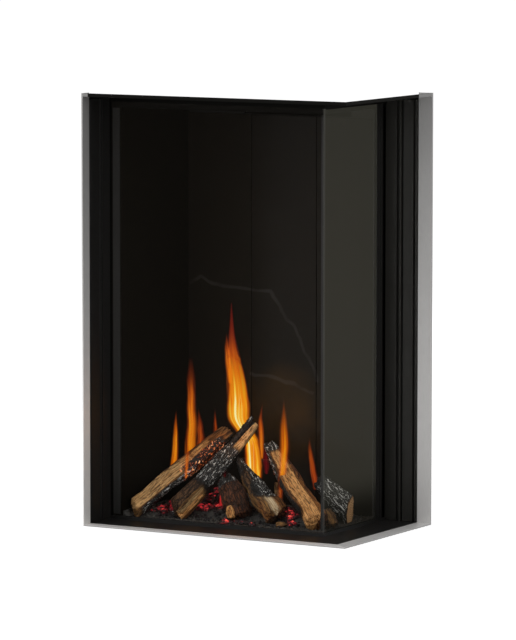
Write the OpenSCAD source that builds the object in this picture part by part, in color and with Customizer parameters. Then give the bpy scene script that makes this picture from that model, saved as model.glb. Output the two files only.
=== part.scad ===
// Two-sided corner gas fire with a tall glass front, a ceramic log set and rear services.
// Everything is drawn from the front left bottom corner of the front opening,
// with X to the right along the front, Y into the wall and Z up.
// from_corner() then moves the drawing to the middle of the base.

/* [Opening] */
// Width of the front opening
opening_w = 606; // [590:1:620]
// Depth of the side opening
opening_d = 369; // [360:1:380]
// Height of both openings
opening_h = 880; // [870:1:900]

/* [Steel trim] */
// Depth of the trim that lines the left jamb and the front sill
front_reveal = 25; // [18:1:28]
// Depth of the trim that lines the right jamb and the side sill
side_reveal = 31; // [26:1:32]
// Height of the trim's outer lip
trim_lip = 3; // [2.6:0.1:3.2]
// Thickness of the trim's sheet
trim_t = 1.2; // [1:0.1:1.2]

/* [Casing] */
// Thickness of the casing's sheet
sheet = 1.5; // [1.2:0.1:1.5]
// Thickness of the base pan
pan_t = 1.8; // [1.8:0.1:1.8]
// How far the casing reaches behind the side opening
rear_space = 56; // [52:1:60]
// Height of the casing behind the glass
casing_h = 850; // [846:1:850]
// Depth of the services behind the casing
services_d = 90; // [86:1:100]

/* [Glass] */
// Distance from the wall planes to the outer face of the glass
glass_set = 107; // [105:1:110]
// Thickness of the ceramic glass
glass_t = 4; // [4:0.5:5]
// Height of the glass's top edge
glass_top = 861; // [858:1:861]
// How far the front pane lifts out of the sill
glass_lift = 8; // [6:0.5:8]

/* [Firebox] */
// Distance from the left wall plane to the firebox's inner face
wall_x = 26; // [24:1:28]
// Distance from the front wall plane to the glossy back liner
liner_y = 380; // [376:1:382]
// Gap between two back liners
seam = 2.5; // [1:0.5:3]
// Height of the granulate at the glass
bed_z = 6; // [5:0.5:8]
// Height of the burner deck with its embers
deck_z = 21; // [19:1:24]

/* [Flue] */
// Outer radius of the air collar
air_r = 75; // [70:1:75]
// Outer radius of the exhaust collar
exhaust_r = 50; // [45:1:50]
// Height of the flue's centre
flue_z = 750; // [740:1:755]

/* [Hidden] */
$fn = 48;

// Casing planes
rear_y = opening_d + rear_space;
total_d = rear_y + services_d;
rear_x = opening_w - 34;
jamb_y = opening_d + 8.5;
face_y = opening_d - 4.2;
jamb_top = glass_top + 3;
jamb_x = opening_w - 8;
lip_z = opening_h - 7;

// Glass planes
channel_set = glass_set - 3;
channel_end = glass_set + glass_t + 3.2;
clear = 0.4;
rim_z = 9;
glass_back = glass_set + glass_t;
glass_z = trim_lip + clear;
front_pane_x = 6;
side_pane_y = opening_d - 38;
corner_x = opening_w - glass_set;
inner_x = opening_w - channel_end;

// Firebox planes
wall_t = 1.5;
back_y = liner_y + 4;
right_wall_x = opening_w - 122;
right_jog_y = opening_d - 23;
roof_z = casing_h - 4;
floor_z = pan_t + wall_t;
slot_z = roof_z - 24;

// Burner deck
deck_low = [95, 200];
deck_high = [435, 350];
tray_low = [110, 206, floor_z];
tray_high = [420, 335, deck_z - 4];
tube_x = 150;
tube_z = 10.2;
tube_r = 6;
pilot_x = 182;
pilot_pipe_z = 30;

// Flue
flue_x = 283;
collector_low = [150, 640];
collector_high = [416, 845];
collector_y = 408;
restrictor_travel = 40;

// Hinge pins, their bores and the eyes round them
pin_r = 1.2;
pin_bore_r = 1.26;
eye_r = 2.2;

// Holes that pipes pass through, and screws of the rear panel
tube_hole_r = tube_r + 0.3;
pilot_pipe_r = 2;
pilot_hole_r = 2.3;
screw_r = 1.7;

// Relief opening and flap
relief_low = [300, 150];
relief_high = [410, 220];
flap_axis = [236, casing_h + 3.2];

// Control compartment
box_low = [4, rear_y, 0];
box_high = [240, total_d, 240];
box_t = 1.2;
door_axis = [2.7, total_d - 3.4];
valve_y = rear_y + 46;
valve_base_z = 62;
outlet_z = 90;
pipe_r = 4;
flame_spindle_z = 148;
pilot_spindle_z = 92;
inlet_x = 62;
inlet_z = 34;
rocker_at = [15.9, valve_y, 210];

// Wall brackets
bracket_x = [80, 470];
bracket_z = [320, 660];
bracket_hole_z = [350, 630];

// ---------- helpers ----------

// Move a drawing made from the opening's corner to the middle of the base
module from_corner() {
    translate([-opening_w / 2, -total_d / 2, 0]) children();
}

// Box between two opposite corners
module block(low, high) {
    translate(low) cube(high - low);
}

// Profile in (distance from the front plane, height), drawn out along the front
module along_front(length) {
    rotate([90, 0, 90]) linear_extrude(length) children();
}

// Profile in (distance from the side plane, height), drawn out along the side
module along_side(length) {
    translate([opening_w, 0, 0]) mirror([1, 0, 0]) mirror([0, 1, 0]) rotate([90, 0, 0])
        linear_extrude(length) children();
}

// Keep what lies on the front's or the side's side of the mitre line through p and q
module mitred(p, q, front) {
    outer = p + 2 * (p - q);
    inner = q + 20 * (q - p);
    far_x = front ? -2000 : 2000;
    intersection() {
        children();
        translate([0, 0, -1]) linear_extrude(opening_h + 2)
            polygon([outer, inner, [far_x, inner.y], [far_x, outer.y]]);
    }
}

// Round bar or hole along Y
module rod_y(x, z, r, y0, y1) {
    translate([x, y0, z]) rotate([-90, 0, 0]) cylinder(r = r, h = y1 - y0);
}

// Round bar or hole along X
module rod_x(y, z, r, x0, x1) {
    translate([x0, y, z]) rotate([0, 90, 0]) cylinder(r = r, h = x1 - x0);
}

// Round bar or hole along Z
module rod_z(x, y, r, z0, z1) {
    translate([x, y, z0]) cylinder(r = r, h = z1 - z0);
}

// ---------- casing ----------

module base_pan() {
    color("silver") from_corner() linear_extrude(pan_t) polygon([
        [sheet, trim_t], [opening_w - trim_t, trim_t], [opening_w - trim_t, face_y],
        [jamb_x, face_y], [jamb_x, jamb_y + sheet], [rear_x, jamb_y + sheet],
        [rear_x, rear_y - sheet], [sheet, rear_y - sheet]]);
}

module left_panel() {
    color("silver") from_corner() along_front(sheet) polygon([
        [trim_t, 0], [rear_y, 0], [rear_y, casing_h], [channel_end, casing_h],
        [channel_end, opening_h - 14], [trim_t, opening_h - 1]]);
}

// Screw places on the rear panel, in X and Z
rear_screws = [for (z = [60, 260, 460, 660, 830]) for (x = [14, rear_x - 14]) [x, z]];

module rear_panel() {
    color("silver") from_corner() difference() {
        block([sheet, rear_y - sheet, 0], [rear_x, rear_y, casing_h]);
        rod_y(flue_x, flue_z, air_r - 1, rear_y - 3, rear_y + 1);
        rod_y(tube_x, tube_z, tube_hole_r, rear_y - 3, rear_y + 1);
        rod_y(pilot_x, pilot_pipe_z, pilot_hole_r, rear_y - 3, rear_y + 1);
        for (p = rear_screws) rod_y(p.x, p.y, screw_r + 0.05, rear_y - 3, rear_y + 1);
    }
}

// Sheet behind the right jamb and the short side behind it
module right_panel() {
    color("silver") from_corner() {
        translate([0, jamb_y + sheet, 0]) rotate([90, 0, 0]) linear_extrude(sheet) polygon([
            [inner_x, pan_t], [jamb_x, pan_t], [jamb_x, opening_h - 2.5],
            [opening_w - channel_set, glass_top + 4.5], [inner_x, jamb_top]]);
        block([rear_x - sheet, jamb_y + sheet, pan_t], [rear_x, rear_y - sheet, casing_h]);
    }
}

// Eyes that carry a hinge pin along X, at the given stretches
module flap_eyes(stretches) {
    for (s = stretches) rod_x(flap_axis.x, flap_axis.y, eye_r, s[0], s[1]);
}

module top_panel() {
    front_y = channel_end;
    color("silver") from_corner() difference() {
        union() {
            translate([0, 0, casing_h - sheet]) linear_extrude(sheet) polygon([
                [sheet, front_y], [inner_x, front_y], [inner_x, jamb_y + sheet],
                [rear_x - sheet, jamb_y + sheet], [rear_x - sheet, rear_y - sheet], [sheet, rear_y - sheet]]);
            block([sheet, front_y, roof_z], [inner_x, front_y + sheet, glass_top + glass_lift]);
            block([inner_x - sheet, front_y, roof_z], [inner_x, jamb_y, jamb_top]);
            block([relief_low.x - 6, relief_low.y - 6, casing_h - sheet],
                [relief_high.x + 6, relief_high.y + 6, casing_h + 1]);
            flap_eyes([[relief_low.x, relief_low.x + 15], [relief_high.x - 15, relief_high.x]]);
            for (x = [relief_low.x, relief_high.x - 15])
                block([x, flap_axis.x - eye_r, casing_h - sheet], [x + 15, flap_axis.x + eye_r, flap_axis.y]);
        }
        block([relief_low.x, relief_low.y, casing_h - 3], [relief_high.x, relief_high.y, casing_h + 2]);
        rod_x(flap_axis.x, flap_axis.y, pin_bore_r, relief_low.x - 1, relief_high.x + 1);
    }
}

// ---------- black header over both openings ----------

// Lip and sloping ceiling; inner_z is the height where the ceiling meets the glass channel
module header_profile(inner_z) {
    polygon([[0, lip_z], [sheet, lip_z], [sheet, opening_h - 2.5], [channel_set, inner_z],
        [channel_set, inner_z + sheet], [2, opening_h - 0.8], [sheet, opening_h], [0, opening_h]]);
}

module header_front() {
    color("#151515") from_corner() mitred([opening_w, 0], [opening_w - channel_set, channel_set], true)
        translate([trim_lip, 0, 0]) along_front(opening_w) header_profile(opening_h - 14.5);
}

module header_side() {
    color("#151515") from_corner() difference() {
        mitred([opening_w, 0], [opening_w - channel_set, channel_set], false)
            along_side(jamb_y) header_profile(opening_h - 16);
        block([opening_w - side_reveal, face_y, lip_z - 20], [opening_w + 1, jamb_y + 1, opening_h + 1]);
    }
}

// ---------- brushed steel trim ----------

// Corner where the inner edges of both bottom trims meet
trim_corner = [opening_w - side_reveal, front_reveal];

// Outer lip with the flat ledge behind it
module ledge_profile(depth) {
    polygon([[0, 0], [trim_t, 0], [trim_t, trim_lip - trim_t], [depth, trim_lip - trim_t],
        [depth, trim_lip], [0, trim_lip]]);
}

module trim_left() {
    color("#a8a8a6") from_corner() {
        block([0, 0, 0], [trim_lip, trim_t, opening_h]);
        block([trim_lip - trim_t, 0, trim_lip], [trim_lip, front_reveal, opening_h]);
    }
}

module trim_right() {
    color("#a8a8a6") from_corner() {
        block([opening_w - side_reveal, face_y, trim_lip], [opening_w, face_y + trim_t, opening_h]);
        block([opening_w - trim_t, face_y, 0], [opening_w, opening_d, opening_h]);
    }
}

module trim_bottom_front() {
    color("#b4b4b2") from_corner() mitred([opening_w, 0], trim_corner, true)
        translate([trim_lip, 0, 0]) along_front(opening_w) ledge_profile(front_reveal);
}

module trim_bottom_side() {
    color("#b4b4b2") from_corner() mitred([opening_w, 0], trim_corner, false)
        along_side(face_y) ledge_profile(side_reveal);
}

// ---------- black jamb sections ----------

// Steps of the left section: start and end from the front plane, and how far it stands out
left_steps = [[31, 64, 1.6], [64, 66.5, 3.2], [73, 81, 3.4], [81, 104, 1.8]];
// Steps of the right section: start and end from the side plane, and how far it stands out
right_steps = [[34, 40, 9], [44, 47.5, 11], [47.5, 67, 9], [71.5, 75, 11], [82.5, 108, 9]];

module reveal_left() {
    color("#1c1b1a") from_corner() {
        block([sheet, front_reveal, trim_lip], [sheet + 0.6, channel_set, opening_h - 15]);
        for (s = left_steps) block([sheet, s[0], trim_lip], [sheet + s[2], s[1], opening_h - 15]);
    }
}

module reveal_right() {
    color("#232322") from_corner() {
        block([opening_w - 109, jamb_y - 1.5, trim_lip], [opening_w - 33, jamb_y, jamb_top]);
        for (s = right_steps)
            block([opening_w - s[1], jamb_y - s[2], trim_lip], [opening_w - s[0], jamb_y, jamb_top]);
    }
}

// ---------- sills with the lower glass channel ----------

// Flat sill, then an open channel that the pane stands in
module sill_profile(start) {
    z0 = trim_lip - trim_t;
    polygon([[start, z0], [channel_end, z0], [channel_end, rim_z], [channel_end - trim_t, rim_z],
        [channel_end - trim_t, trim_lip], [channel_set + trim_t, trim_lip], [channel_set + trim_t, rim_z],
        [channel_set, rim_z], [channel_set, trim_lip], [start, trim_lip]]);
}

module sill_front() {
    color("#191918") from_corner() mitred(trim_corner, [opening_w - channel_set, channel_set], true)
        translate([trim_lip + 0.6, 0, 0]) along_front(opening_w) sill_profile(front_reveal);
}

module sill_side() {
    color("#191918") from_corner() mitred(trim_corner, [opening_w - channel_set, channel_set], false)
        along_side(face_y) sill_profile(side_reveal);
}

// ---------- upper glass channels ----------

// Channel open at the bottom, with its top at top_z
module channel_profile(low_z, top_z) {
    difference() {
        translate([channel_set, low_z]) square([channel_end - channel_set, top_z - low_z]);
        translate([channel_set + trim_t, low_z - 1])
            square([channel_end - channel_set - 2 * trim_t, top_z - low_z + 1 - trim_t]);
    }
}

module upper_channel_front() {
    top = glass_top + glass_lift + 2;
    end_x = opening_w - channel_set;
    joint_y = glass_back + clear;
    color("#111111") from_corner() {
        difference() {
            translate([sheet, 0, 0]) along_front(end_x - sheet) channel_profile(glass_top - 3, top);
            block([inner_x, joint_y, 840], [end_x + 1, channel_end + 1, opening_h]);
        }
        block([end_x - trim_t, channel_set, glass_top - 3], [end_x, joint_y, top]);
    }
}

module upper_channel_side() {
    start_y = glass_back + clear;
    color("#111111") from_corner() translate([0, start_y, 0])
        along_side(right_jog_y - start_y + 20) channel_profile(glass_top - 5, glass_top + 3.9);
}

// ---------- glass and its seals ----------

module glass_front() {
    color([0.1, 0.12, 0.11, 0.35]) from_corner()
        block([front_pane_x, glass_set, glass_z], [corner_x, glass_back, glass_top]);
}

module glass_side() {
    color([0.1, 0.12, 0.11, 0.35]) from_corner()
        block([corner_x - glass_t, glass_back + 0.6, glass_z], [corner_x, side_pane_y, glass_top]);
}

// Rope seals: left flange, inside the corner, and the side pane's rear edge
module glass_seals() {
    low = 12;
    high = roof_z - 1;
    color("#2a2a28") from_corner() {
        block([front_pane_x, glass_back + clear, low], [wall_x - 4, glass_back + 1.5, high]);
        block([corner_x - 9, glass_back + 1, low], [corner_x - glass_t, glass_back + 4.5, high]);
        block([corner_x - glass_t - 1.2, side_pane_y - 6, low], [corner_x - glass_t, side_pane_y, high]);
    }
}

// Clamp bar that holds the side pane's rear edge, with its screw heads
module side_glass_clamp() {
    bar_y = [side_pane_y + 0.5, side_pane_y + 24];
    bar_z = [rim_z + clear, glass_top - 5.5];
    color("#1d1d1c") from_corner() {
        block([corner_x - 5, bar_y[0], bar_z[0]], [corner_x - 1.5, bar_y[1], bar_z[1]]);
        block([corner_x - 5, bar_y[0] + 15, bar_z[0]], [corner_x, bar_y[1], bar_z[1]]);
        block([corner_x, side_pane_y - 3, bar_z[0]], [corner_x + 0.8, bar_y[0], bar_z[1]]);
        block([corner_x - 2, bar_y[0], bar_z[0]], [corner_x + 0.8, bar_y[0] + 1.2, bar_z[1]]);
        for (z = [80, 320, 560, 800]) rod_x(bar_y[0] + 7.5, z, 2.6, corner_x - 1.6, corner_x - 0.2);
    }
}

// ---------- firebox ----------

module firebox_floor() {
    color("#202020") from_corner() translate([0, 0, pan_t]) linear_extrude(wall_t) polygon([
        [wall_x - wall_t, channel_end], [inner_x, channel_end], [inner_x, right_jog_y],
        [right_wall_x + wall_t, right_jog_y], [right_wall_x + wall_t, back_y + wall_t],
        [wall_x - wall_t, back_y + wall_t]]);
}

// Left wall with the front flange that the pane seals against
module firebox_left() {
    flange_y = glass_back + 1.5;
    color("#1e1d1c") from_corner() {
        block([wall_x - wall_t, channel_end, floor_z], [wall_x, back_y, roof_z]);
        block([sheet + 2, flange_y, rim_z + clear], [wall_x, flange_y + wall_t, roof_z]);
        block([wall_x - wall_t, flange_y, rim_z + clear], [wall_x, channel_end + 1, roof_z]);
    }
}

// Right wall, stepped out to the rear edge of the side pane
module firebox_right() {
    lip_x = corner_x - glass_t - 1.2;
    color("#1e1d1c") from_corner() {
        block([right_wall_x, right_jog_y - wall_t, floor_z], [right_wall_x + wall_t, back_y, roof_z]);
        block([right_wall_x, right_jog_y - wall_t, rim_z + clear], [lip_x, right_jog_y, roof_z]);
        block([lip_x - wall_t, side_pane_y - 6, rim_z + clear], [lip_x, right_jog_y, roof_z]);
    }
}

module firebox_back() {
    color("#242424") from_corner() difference() {
        block([wall_x - wall_t, back_y, floor_z], [right_wall_x + wall_t, back_y + wall_t, roof_z]);
        block([collector_low.x + 6, back_y - 1, slot_z + 2], [collector_high.x - 6, back_y + 3, roof_z - 4]);
        rod_y(tube_x, tube_z, tube_hole_r, back_y - 1, back_y + 3);
        rod_y(pilot_x, pilot_pipe_z, pilot_hole_r, back_y - 1, back_y + 3);
    }
}

module firebox_roof() {
    front_y = channel_end + sheet;
    color("#242424") from_corner() translate([0, 0, roof_z]) difference() {
        linear_extrude(wall_t) polygon([
            [wall_x - wall_t, front_y], [inner_x - sheet, front_y], [inner_x - sheet, right_jog_y],
            [right_wall_x + wall_t, right_jog_y], [right_wall_x + wall_t, back_y + wall_t],
            [wall_x - wall_t, back_y + wall_t]]);
        block([relief_low.x, relief_low.y, -1], [relief_high.x, relief_high.y, 3]);
    }
}

liner_w = (right_wall_x - wall_x - 0.6 - 2 * seam) / 3;

// One of the three glossy liners of the back wall, counted from the left
module back_liner(place) {
    x = wall_x + 0.3 + place * (liner_w + seam);
    color("#0d0d0d") from_corner() difference() {
        block([x, liner_y, floor_z], [x + liner_w, back_y, slot_z]);
        rod_y(tube_x, tube_z, tube_hole_r, liner_y - 1, back_y + 1);
        rod_y(pilot_x, pilot_pipe_z, pilot_hole_r, liner_y - 1, back_y + 1);
    }
}

module back_liner_left() back_liner(0);
module back_liner_centre() back_liner(1);
module back_liner_right() back_liner(2);

// ---------- burner ----------

module burner_tray() {
    rows = [230, 262, 294];
    color("#303030") from_corner() difference() {
        block(tray_low, tray_high);
        block(tray_low + [1.2, 1.2, 1.2], tray_high - [1.2, 1.2, 1.2]);
        for (y = rows) for (x = [tray_low.x + 16 : 20 : tray_high.x - 26])
            block([x, y, tray_high.z - 3], [x + 10, y + 2, tray_high.z + 1]);
        rod_y(tube_x, tube_z, tube_r - 1, tray_high.y - 3, tray_high.y + 1);
    }
}

module mixing_tube() {
    end_y = rear_y + 15;
    color("#8a8a88") from_corner() difference() {
        rod_y(tube_x, tube_z, tube_r, tray_high.y, end_y);
        rod_y(tube_x, tube_z, tube_r - 1, tray_high.y - 1, end_y + 1);
        rod_x(rear_y + 7, tube_z, 2.4, tube_x - 9, tube_x + 9);
    }
}

// Turning sleeve that sets the primary air
module air_shutter() {
    color("goldenrod") from_corner() difference() {
        union() {
            rod_y(tube_x, tube_z, tube_r + 2, rear_y + 2, rear_y + 12);
            rod_y(tube_x, tube_z, tube_r + 2.5, rear_y + 10, rear_y + 12);
        }
        rod_y(tube_x, tube_z, tube_r + 0.08, rear_y + 1, rear_y + 13);
        rod_x(rear_y + 7, tube_z, 2.6, tube_x - 12, tube_x + 12);
    }
}

// Granulate that fills the floor, with a raised rim round the burner
module granulate_bed() {
    color("#26282a") from_corner() difference() {
        union() {
            translate([0, 0, floor_z]) linear_extrude(bed_z - floor_z) polygon([
                [wall_x + 0.3, channel_end + 0.3], [inner_x - 0.3, channel_end + 0.3],
                [inner_x - 0.3, right_jog_y - 1.8], [right_wall_x - 0.3, right_jog_y - 1.8],
                [right_wall_x - 0.3, liner_y - 0.3], [wall_x + 0.3, liner_y - 0.3]]);
            block([deck_low.x, deck_low.y, floor_z], [deck_high.x, deck_high.y, deck_z - 4]);
        }
        block(tray_low, tray_high + [0, 0, 9]);
        block([tube_x - 7, tray_high.y - 1, floor_z - 1], [tube_x + 7, liner_y, deck_z]);
        block([pilot_x - 22, deck_high.y - 5, floor_z - 1], [pilot_x + 22, liner_y, deck_z]);
    }
}

module ember_layer() {
    color("#b0301c") from_corner()
        block([tray_low.x - 4, tray_low.y - 2, deck_z - 4], [tray_high.x + 4, tray_high.y - 3, deck_z]);
}

// ---------- log rest: a bent rod frame that carries the logs' upper ends ----------

rest_y = 292;
rest_z = 117;
rest_x = [136, 300];
far_pin = [408, 266];
far_pin_z = 52;

// Rods of the rest, made thicker by grow
module rest_rods(grow) {
    r = 3 + grow;
    rod_x(rest_y, rest_z, r, rest_x[0] - 12, rest_x[1] + 6);
    for (x = rest_x) rod_z(x, rest_y, r, deck_z, rest_z);
    rod_z(far_pin.x, far_pin.y, r, deck_z, far_pin_z);
}

module log_rest() {
    color("#1a1a1a") from_corner() {
        rest_rods(0);
        for (x = rest_x) rod_z(x, rest_y, 8, deck_z, deck_z + 2);
        rod_z(far_pin.x, far_pin.y, 8, deck_z, deck_z + 2);
    }
}

// ---------- ceramic logs ----------

// Uneven outline of a log at one place; turn shifts its bumps
function bark_outline(r, turn) = [for (i = [0 : 10])
    let (a = i * 360 / 11, k = 1 + 0.07 * sin(3 * a + turn) + 0.05 * sin(5 * a + 2 * turn))
        [r * k * cos(a), r * k * sin(a)]];

// Thin slice of a log at p, square to the direction d
module log_slice(p, d, r, turn) {
    translate(p) rotate([0, acos(d.z / norm(d)), atan2(d.y, d.x)])
        linear_extrude(0.4, center = true) polygon(bark_outline(r, turn));
}

// Tapered log through three places, with a radius at each
module log_body(p, r, turn) {
    d = [p[1] - p[0], p[2] - p[0], p[2] - p[1]];
    for (i = [0, 1]) hull() {
        log_slice(p[i], d[i], r[i], turn + 40 * i);
        log_slice(p[i + 1], d[i + 1], r[i + 1], turn + 40 * (i + 1));
    }
}

// What the logs stand on or lean against, which is cut out of them
module log_seats() {
    block([0, 100, -50], [opening_w, 400, bed_z + 0.1]);
    block([deck_low.x, deck_low.y, -50], [deck_high.x, deck_high.y, deck_z + 0.1]);
    block([0, liner_y - 0.3, 0], [opening_w, 500, 400]);
    rest_rods(0.2);
}

// Places and radii of the five long logs
back_left_p = [[46, 148, 27], [100, 232, 96], [156, 322, 166]];
back_left_r = [19, 22, 19];
front_left_p = [[138, 160, 30], [182, 252, 112], [222, 342, 190]];
front_left_r = [24, 23, 11];
centre_p = [[330, 190, 28], [270, 230, 78], [216, 272, 126]];
centre_r = [25, 24, 14];
right_p = [[446, 158, 27], [356, 226, 90], [270, 296, 149]];
right_r = [25, 23, 13];
far_right_p = [[469, 275, 29], [434, 270, 56], [398, 265, 82]];
far_right_r = [23, 22, 18];

module raw_front_left() log_body(front_left_p, front_left_r, 20);
module raw_right() log_body(right_p, right_r, 130);

module log_back_left() {
    color("#8a6a42") from_corner() difference() {
        log_body(back_left_p, back_left_r, 70);
        log_seats();
        raw_front_left();
    }
}

module log_front_left() {
    color("#6b4f33") from_corner() difference() {
        raw_front_left();
        log_seats();
    }
}

module log_centre() {
    color("#4a3b2e") from_corner() difference() {
        log_body(centre_p, centre_r, 200);
        log_seats();
        raw_front_left();
        raw_right();
    }
}

module log_right() {
    color("#a8794a") from_corner() difference() {
        raw_right();
        log_seats();
        raw_front_left();
    }
}

module log_far_right() {
    color("#3a3a38") from_corner() difference() {
        log_body(far_right_p, far_right_r, 300);
        log_seats();
        raw_right();
    }
}

// Short pieces that stand loose on the bed: place, size and turn about Z
chips = [[[243, 150], [20, 15, 28], -20], [[470, 186], [26, 22, 38], 35], [[318, 246], [22, 8, 60], 25],
    [[372, 160], [22, 14, 10], 60], [[118, 176], [24, 16, 12], -35]];

// Thick stub that leans against the centre log
stub_p = [[262, 190, 16], [240, 198, 50], [217, 208, 84]];
stub_r = [24, 26, 18];

module bark_chips() {
    color("#7a5a3a") from_corner() difference() {
        union() {
            for (c = chips) translate([c[0].x, c[0].y, bed_z]) rotate([0, 0, c[2]])
                linear_extrude(c[1].z) polygon([for (q = [[-0.5, -0.35], [-0.1, -0.5], [0.5, -0.3],
                    [0.42, 0.3], [0, 0.5], [-0.45, 0.28]]) [q.x * c[1].x, q.y * c[1].y]]);
            log_body(stub_p, stub_r, 60);
        }
        log_seats();
        raw_front_left();
        raw_right();
        log_body(centre_p, centre_r, 200);
        log_body(far_right_p, far_right_r, 300);
    }
}

// ---------- pilot ----------

module pilot_burner() {
    head_y = deck_high.y + 12;
    riser_x = 105;
    color("#9a9a96") from_corner() {
        block([pilot_x - 16, head_y - 6, floor_z], [pilot_x + 16, head_y - 4.5, 32]);
        block([pilot_x - 16, head_y - 6, floor_z], [pilot_x + 16, head_y + 8, floor_z + 1.5]);
        difference() {
            rod_z(pilot_x, head_y, 4.6, floor_z, 44);
            rod_z(pilot_x, head_y, 2.6, 36, 45);
            block([pilot_x - 2, head_y - 6, 38], [pilot_x + 2, head_y, 42]);
        }
        rod_y(pilot_x, pilot_pipe_z, pilot_pipe_r, head_y, rear_y + 30);
        translate([pilot_x, rear_y + 30, pilot_pipe_z]) sphere(r = pilot_pipe_r + 0.4);
        rod_x(rear_y + 30, pilot_pipe_z, pilot_pipe_r, riser_x, pilot_x);
        translate([riser_x, rear_y + 30, pilot_pipe_z]) sphere(r = pilot_pipe_r + 0.4);
        rod_z(riser_x, rear_y + 30, pilot_pipe_r, pilot_pipe_z, valve_base_z);
    }
}

// Spark electrode on the left of the pilot and thermocouple on its right
module pilot_probes() {
    head_y = deck_high.y + 12;
    color("#e6e2d8") from_corner() {
        rod_z(pilot_x - 11, head_y, 2.6, floor_z + 1.5, 32);
        rod_z(pilot_x - 11, head_y, 0.9, 31, 43);
        rod_z(pilot_x + 11, head_y, 2.2, floor_z + 1.5, 38);
        rod_z(pilot_x + 11, head_y, 1.5, 37, 45);
    }
}

// ---------- flue ----------

module flue_collector() {
    y0 = back_y + wall_t;
    guides = [[222, 227.6, 231], [344, 338.4, 335]];
    color("#77777a") from_corner() difference() {
        union() {
            difference() {
                block([collector_low.x, y0, collector_low.y], [collector_high.x, collector_y, collector_high.y]);
                block([collector_low.x + 1.2, y0 - 1, collector_low.y + 1.2],
                    [collector_high.x - 1.2, collector_y - 1.2, collector_high.y - 1.2]);
            }
            for (g = guides) {
                block([min(g[0], g[1]), 401.5, collector_low.y], [max(g[0], g[1]), collector_y - 1, 736]);
                block([min(g[0], g[2]), 401.5, collector_low.y], [max(g[0], g[2]), 402.9, 736]);
            }
        }
        rod_y(flue_x, flue_z, exhaust_r, collector_y - 3, collector_y + 1);
    }
}

module exhaust_collar() {
    color("#b8bcc0") from_corner() difference() {
        union() {
            rod_y(flue_x, flue_z, exhaust_r, collector_y - 1.2, rear_y + 50);
            rod_y(flue_x, flue_z, exhaust_r + 2, rear_y - 1, rear_y + 2);
        }
        rod_y(flue_x, flue_z, exhaust_r - 1, collector_y - 3, rear_y + 51);
    }
}

module air_collar() {
    color("#b8bcc0") from_corner() difference() {
        union() {
            rod_y(flue_x, flue_z, air_r, rear_y, rear_y + 42);
            rod_y(flue_x, flue_z, air_r + 15, rear_y, rear_y + 1.5);
        }
        rod_y(flue_x, flue_z, air_r - 1, rear_y - 1, rear_y + 43);
    }
}

// Plate that slides up in front of the exhaust mouth
module flue_restrictor() {
    color("#8f9396") from_corner() difference() {
        block([228, 403.4, collector_low.y + 1.6], [338, 404.8, 690]);
        rod_y(flue_x, flue_z - 2 * restrictor_travel, 6, 402, 406);
    }
}

// ---------- relief flap ----------

module relief_flap() {
    color("#8f9396") from_corner() difference() {
        union() {
            block([relief_low.x - 10, relief_low.y - 10, casing_h + 1.4],
                [relief_high.x + 10, relief_high.y + 10, casing_h + 2.9]);
            for (x = [relief_low.x + 15.4, relief_high.x - 30])
                block([x, relief_high.y + 9, casing_h + 1.4], [x + 14.6, flap_axis.x, casing_h + 2.9]);
            flap_eyes([[relief_low.x + 15.4, relief_low.x + 30], [relief_high.x - 30, relief_high.x - 15.4]]);
        }
        rod_x(flap_axis.x, flap_axis.y, pin_bore_r, relief_low.x, relief_high.x);
    }
}

// Pin of the relief flap and pin of the control door
module hinge_pins() {
    color("#c8c8c8") from_corner() {
        rod_x(flap_axis.x, flap_axis.y, pin_r, relief_low.x - 2, relief_high.x + 2);
        rod_z(door_axis.x, door_axis.y, pin_r, 14, 226);
    }
}

// ---------- control compartment ----------

// Heights of the hinge eyes: those of the box, and between them those of the door
box_eyes = [[20, 32], [48.8, 60], [180, 192], [208.8, 220]];
door_eyes = [[32.4, 48.4], [192.4, 208.4]];

module control_box() {
    color("#9fa3a6") from_corner() difference() {
        union() {
            block(box_low, [box_high.x, box_high.y, box_t]);
            block([box_low.x, box_low.y, box_high.z - box_t], box_high);
            block([box_low.x, box_high.y - box_t, 0], box_high);
            block([box_high.x - box_t, box_low.y, 0], box_high);
            block([14, rear_y + 15, 184], [120, box_high.y - 0.5, 185.5]);
            for (e = box_eyes) {
                rod_z(door_axis.x, door_axis.y, eye_r, e[0], e[1]);
                block([door_axis.x, door_axis.y, e[0]], [door_axis.x + 5, box_high.y - 0.5, e[1]]);
            }
        }
        rod_z(door_axis.x, door_axis.y, pin_bore_r, 10, 230);
        rod_y(inlet_x, inlet_z, 9, box_high.y - 3, box_high.y + 1);
        for (z = [60 : 14 : 144]) block([150, box_high.y - 3, z], [215, box_high.y + 1, z + 4]);
    }
}

module control_door() {
    color("#b2b6b9") from_corner() difference() {
        union() {
            block([2, rear_y + 2, 2], [3.4, door_axis.y - 2.6, 238]);
            block([0, rear_y + 4, 110], [2.4, rear_y + 10, 130]);
            for (e = door_eyes) {
                rod_z(door_axis.x, door_axis.y, eye_r, e[0], e[1]);
                block([2, door_axis.y - 3, e[0]], [3.4, door_axis.y, e[1]]);
            }
        }
        rod_z(door_axis.x, door_axis.y, pin_bore_r, 10, 230);
    }
}

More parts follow.
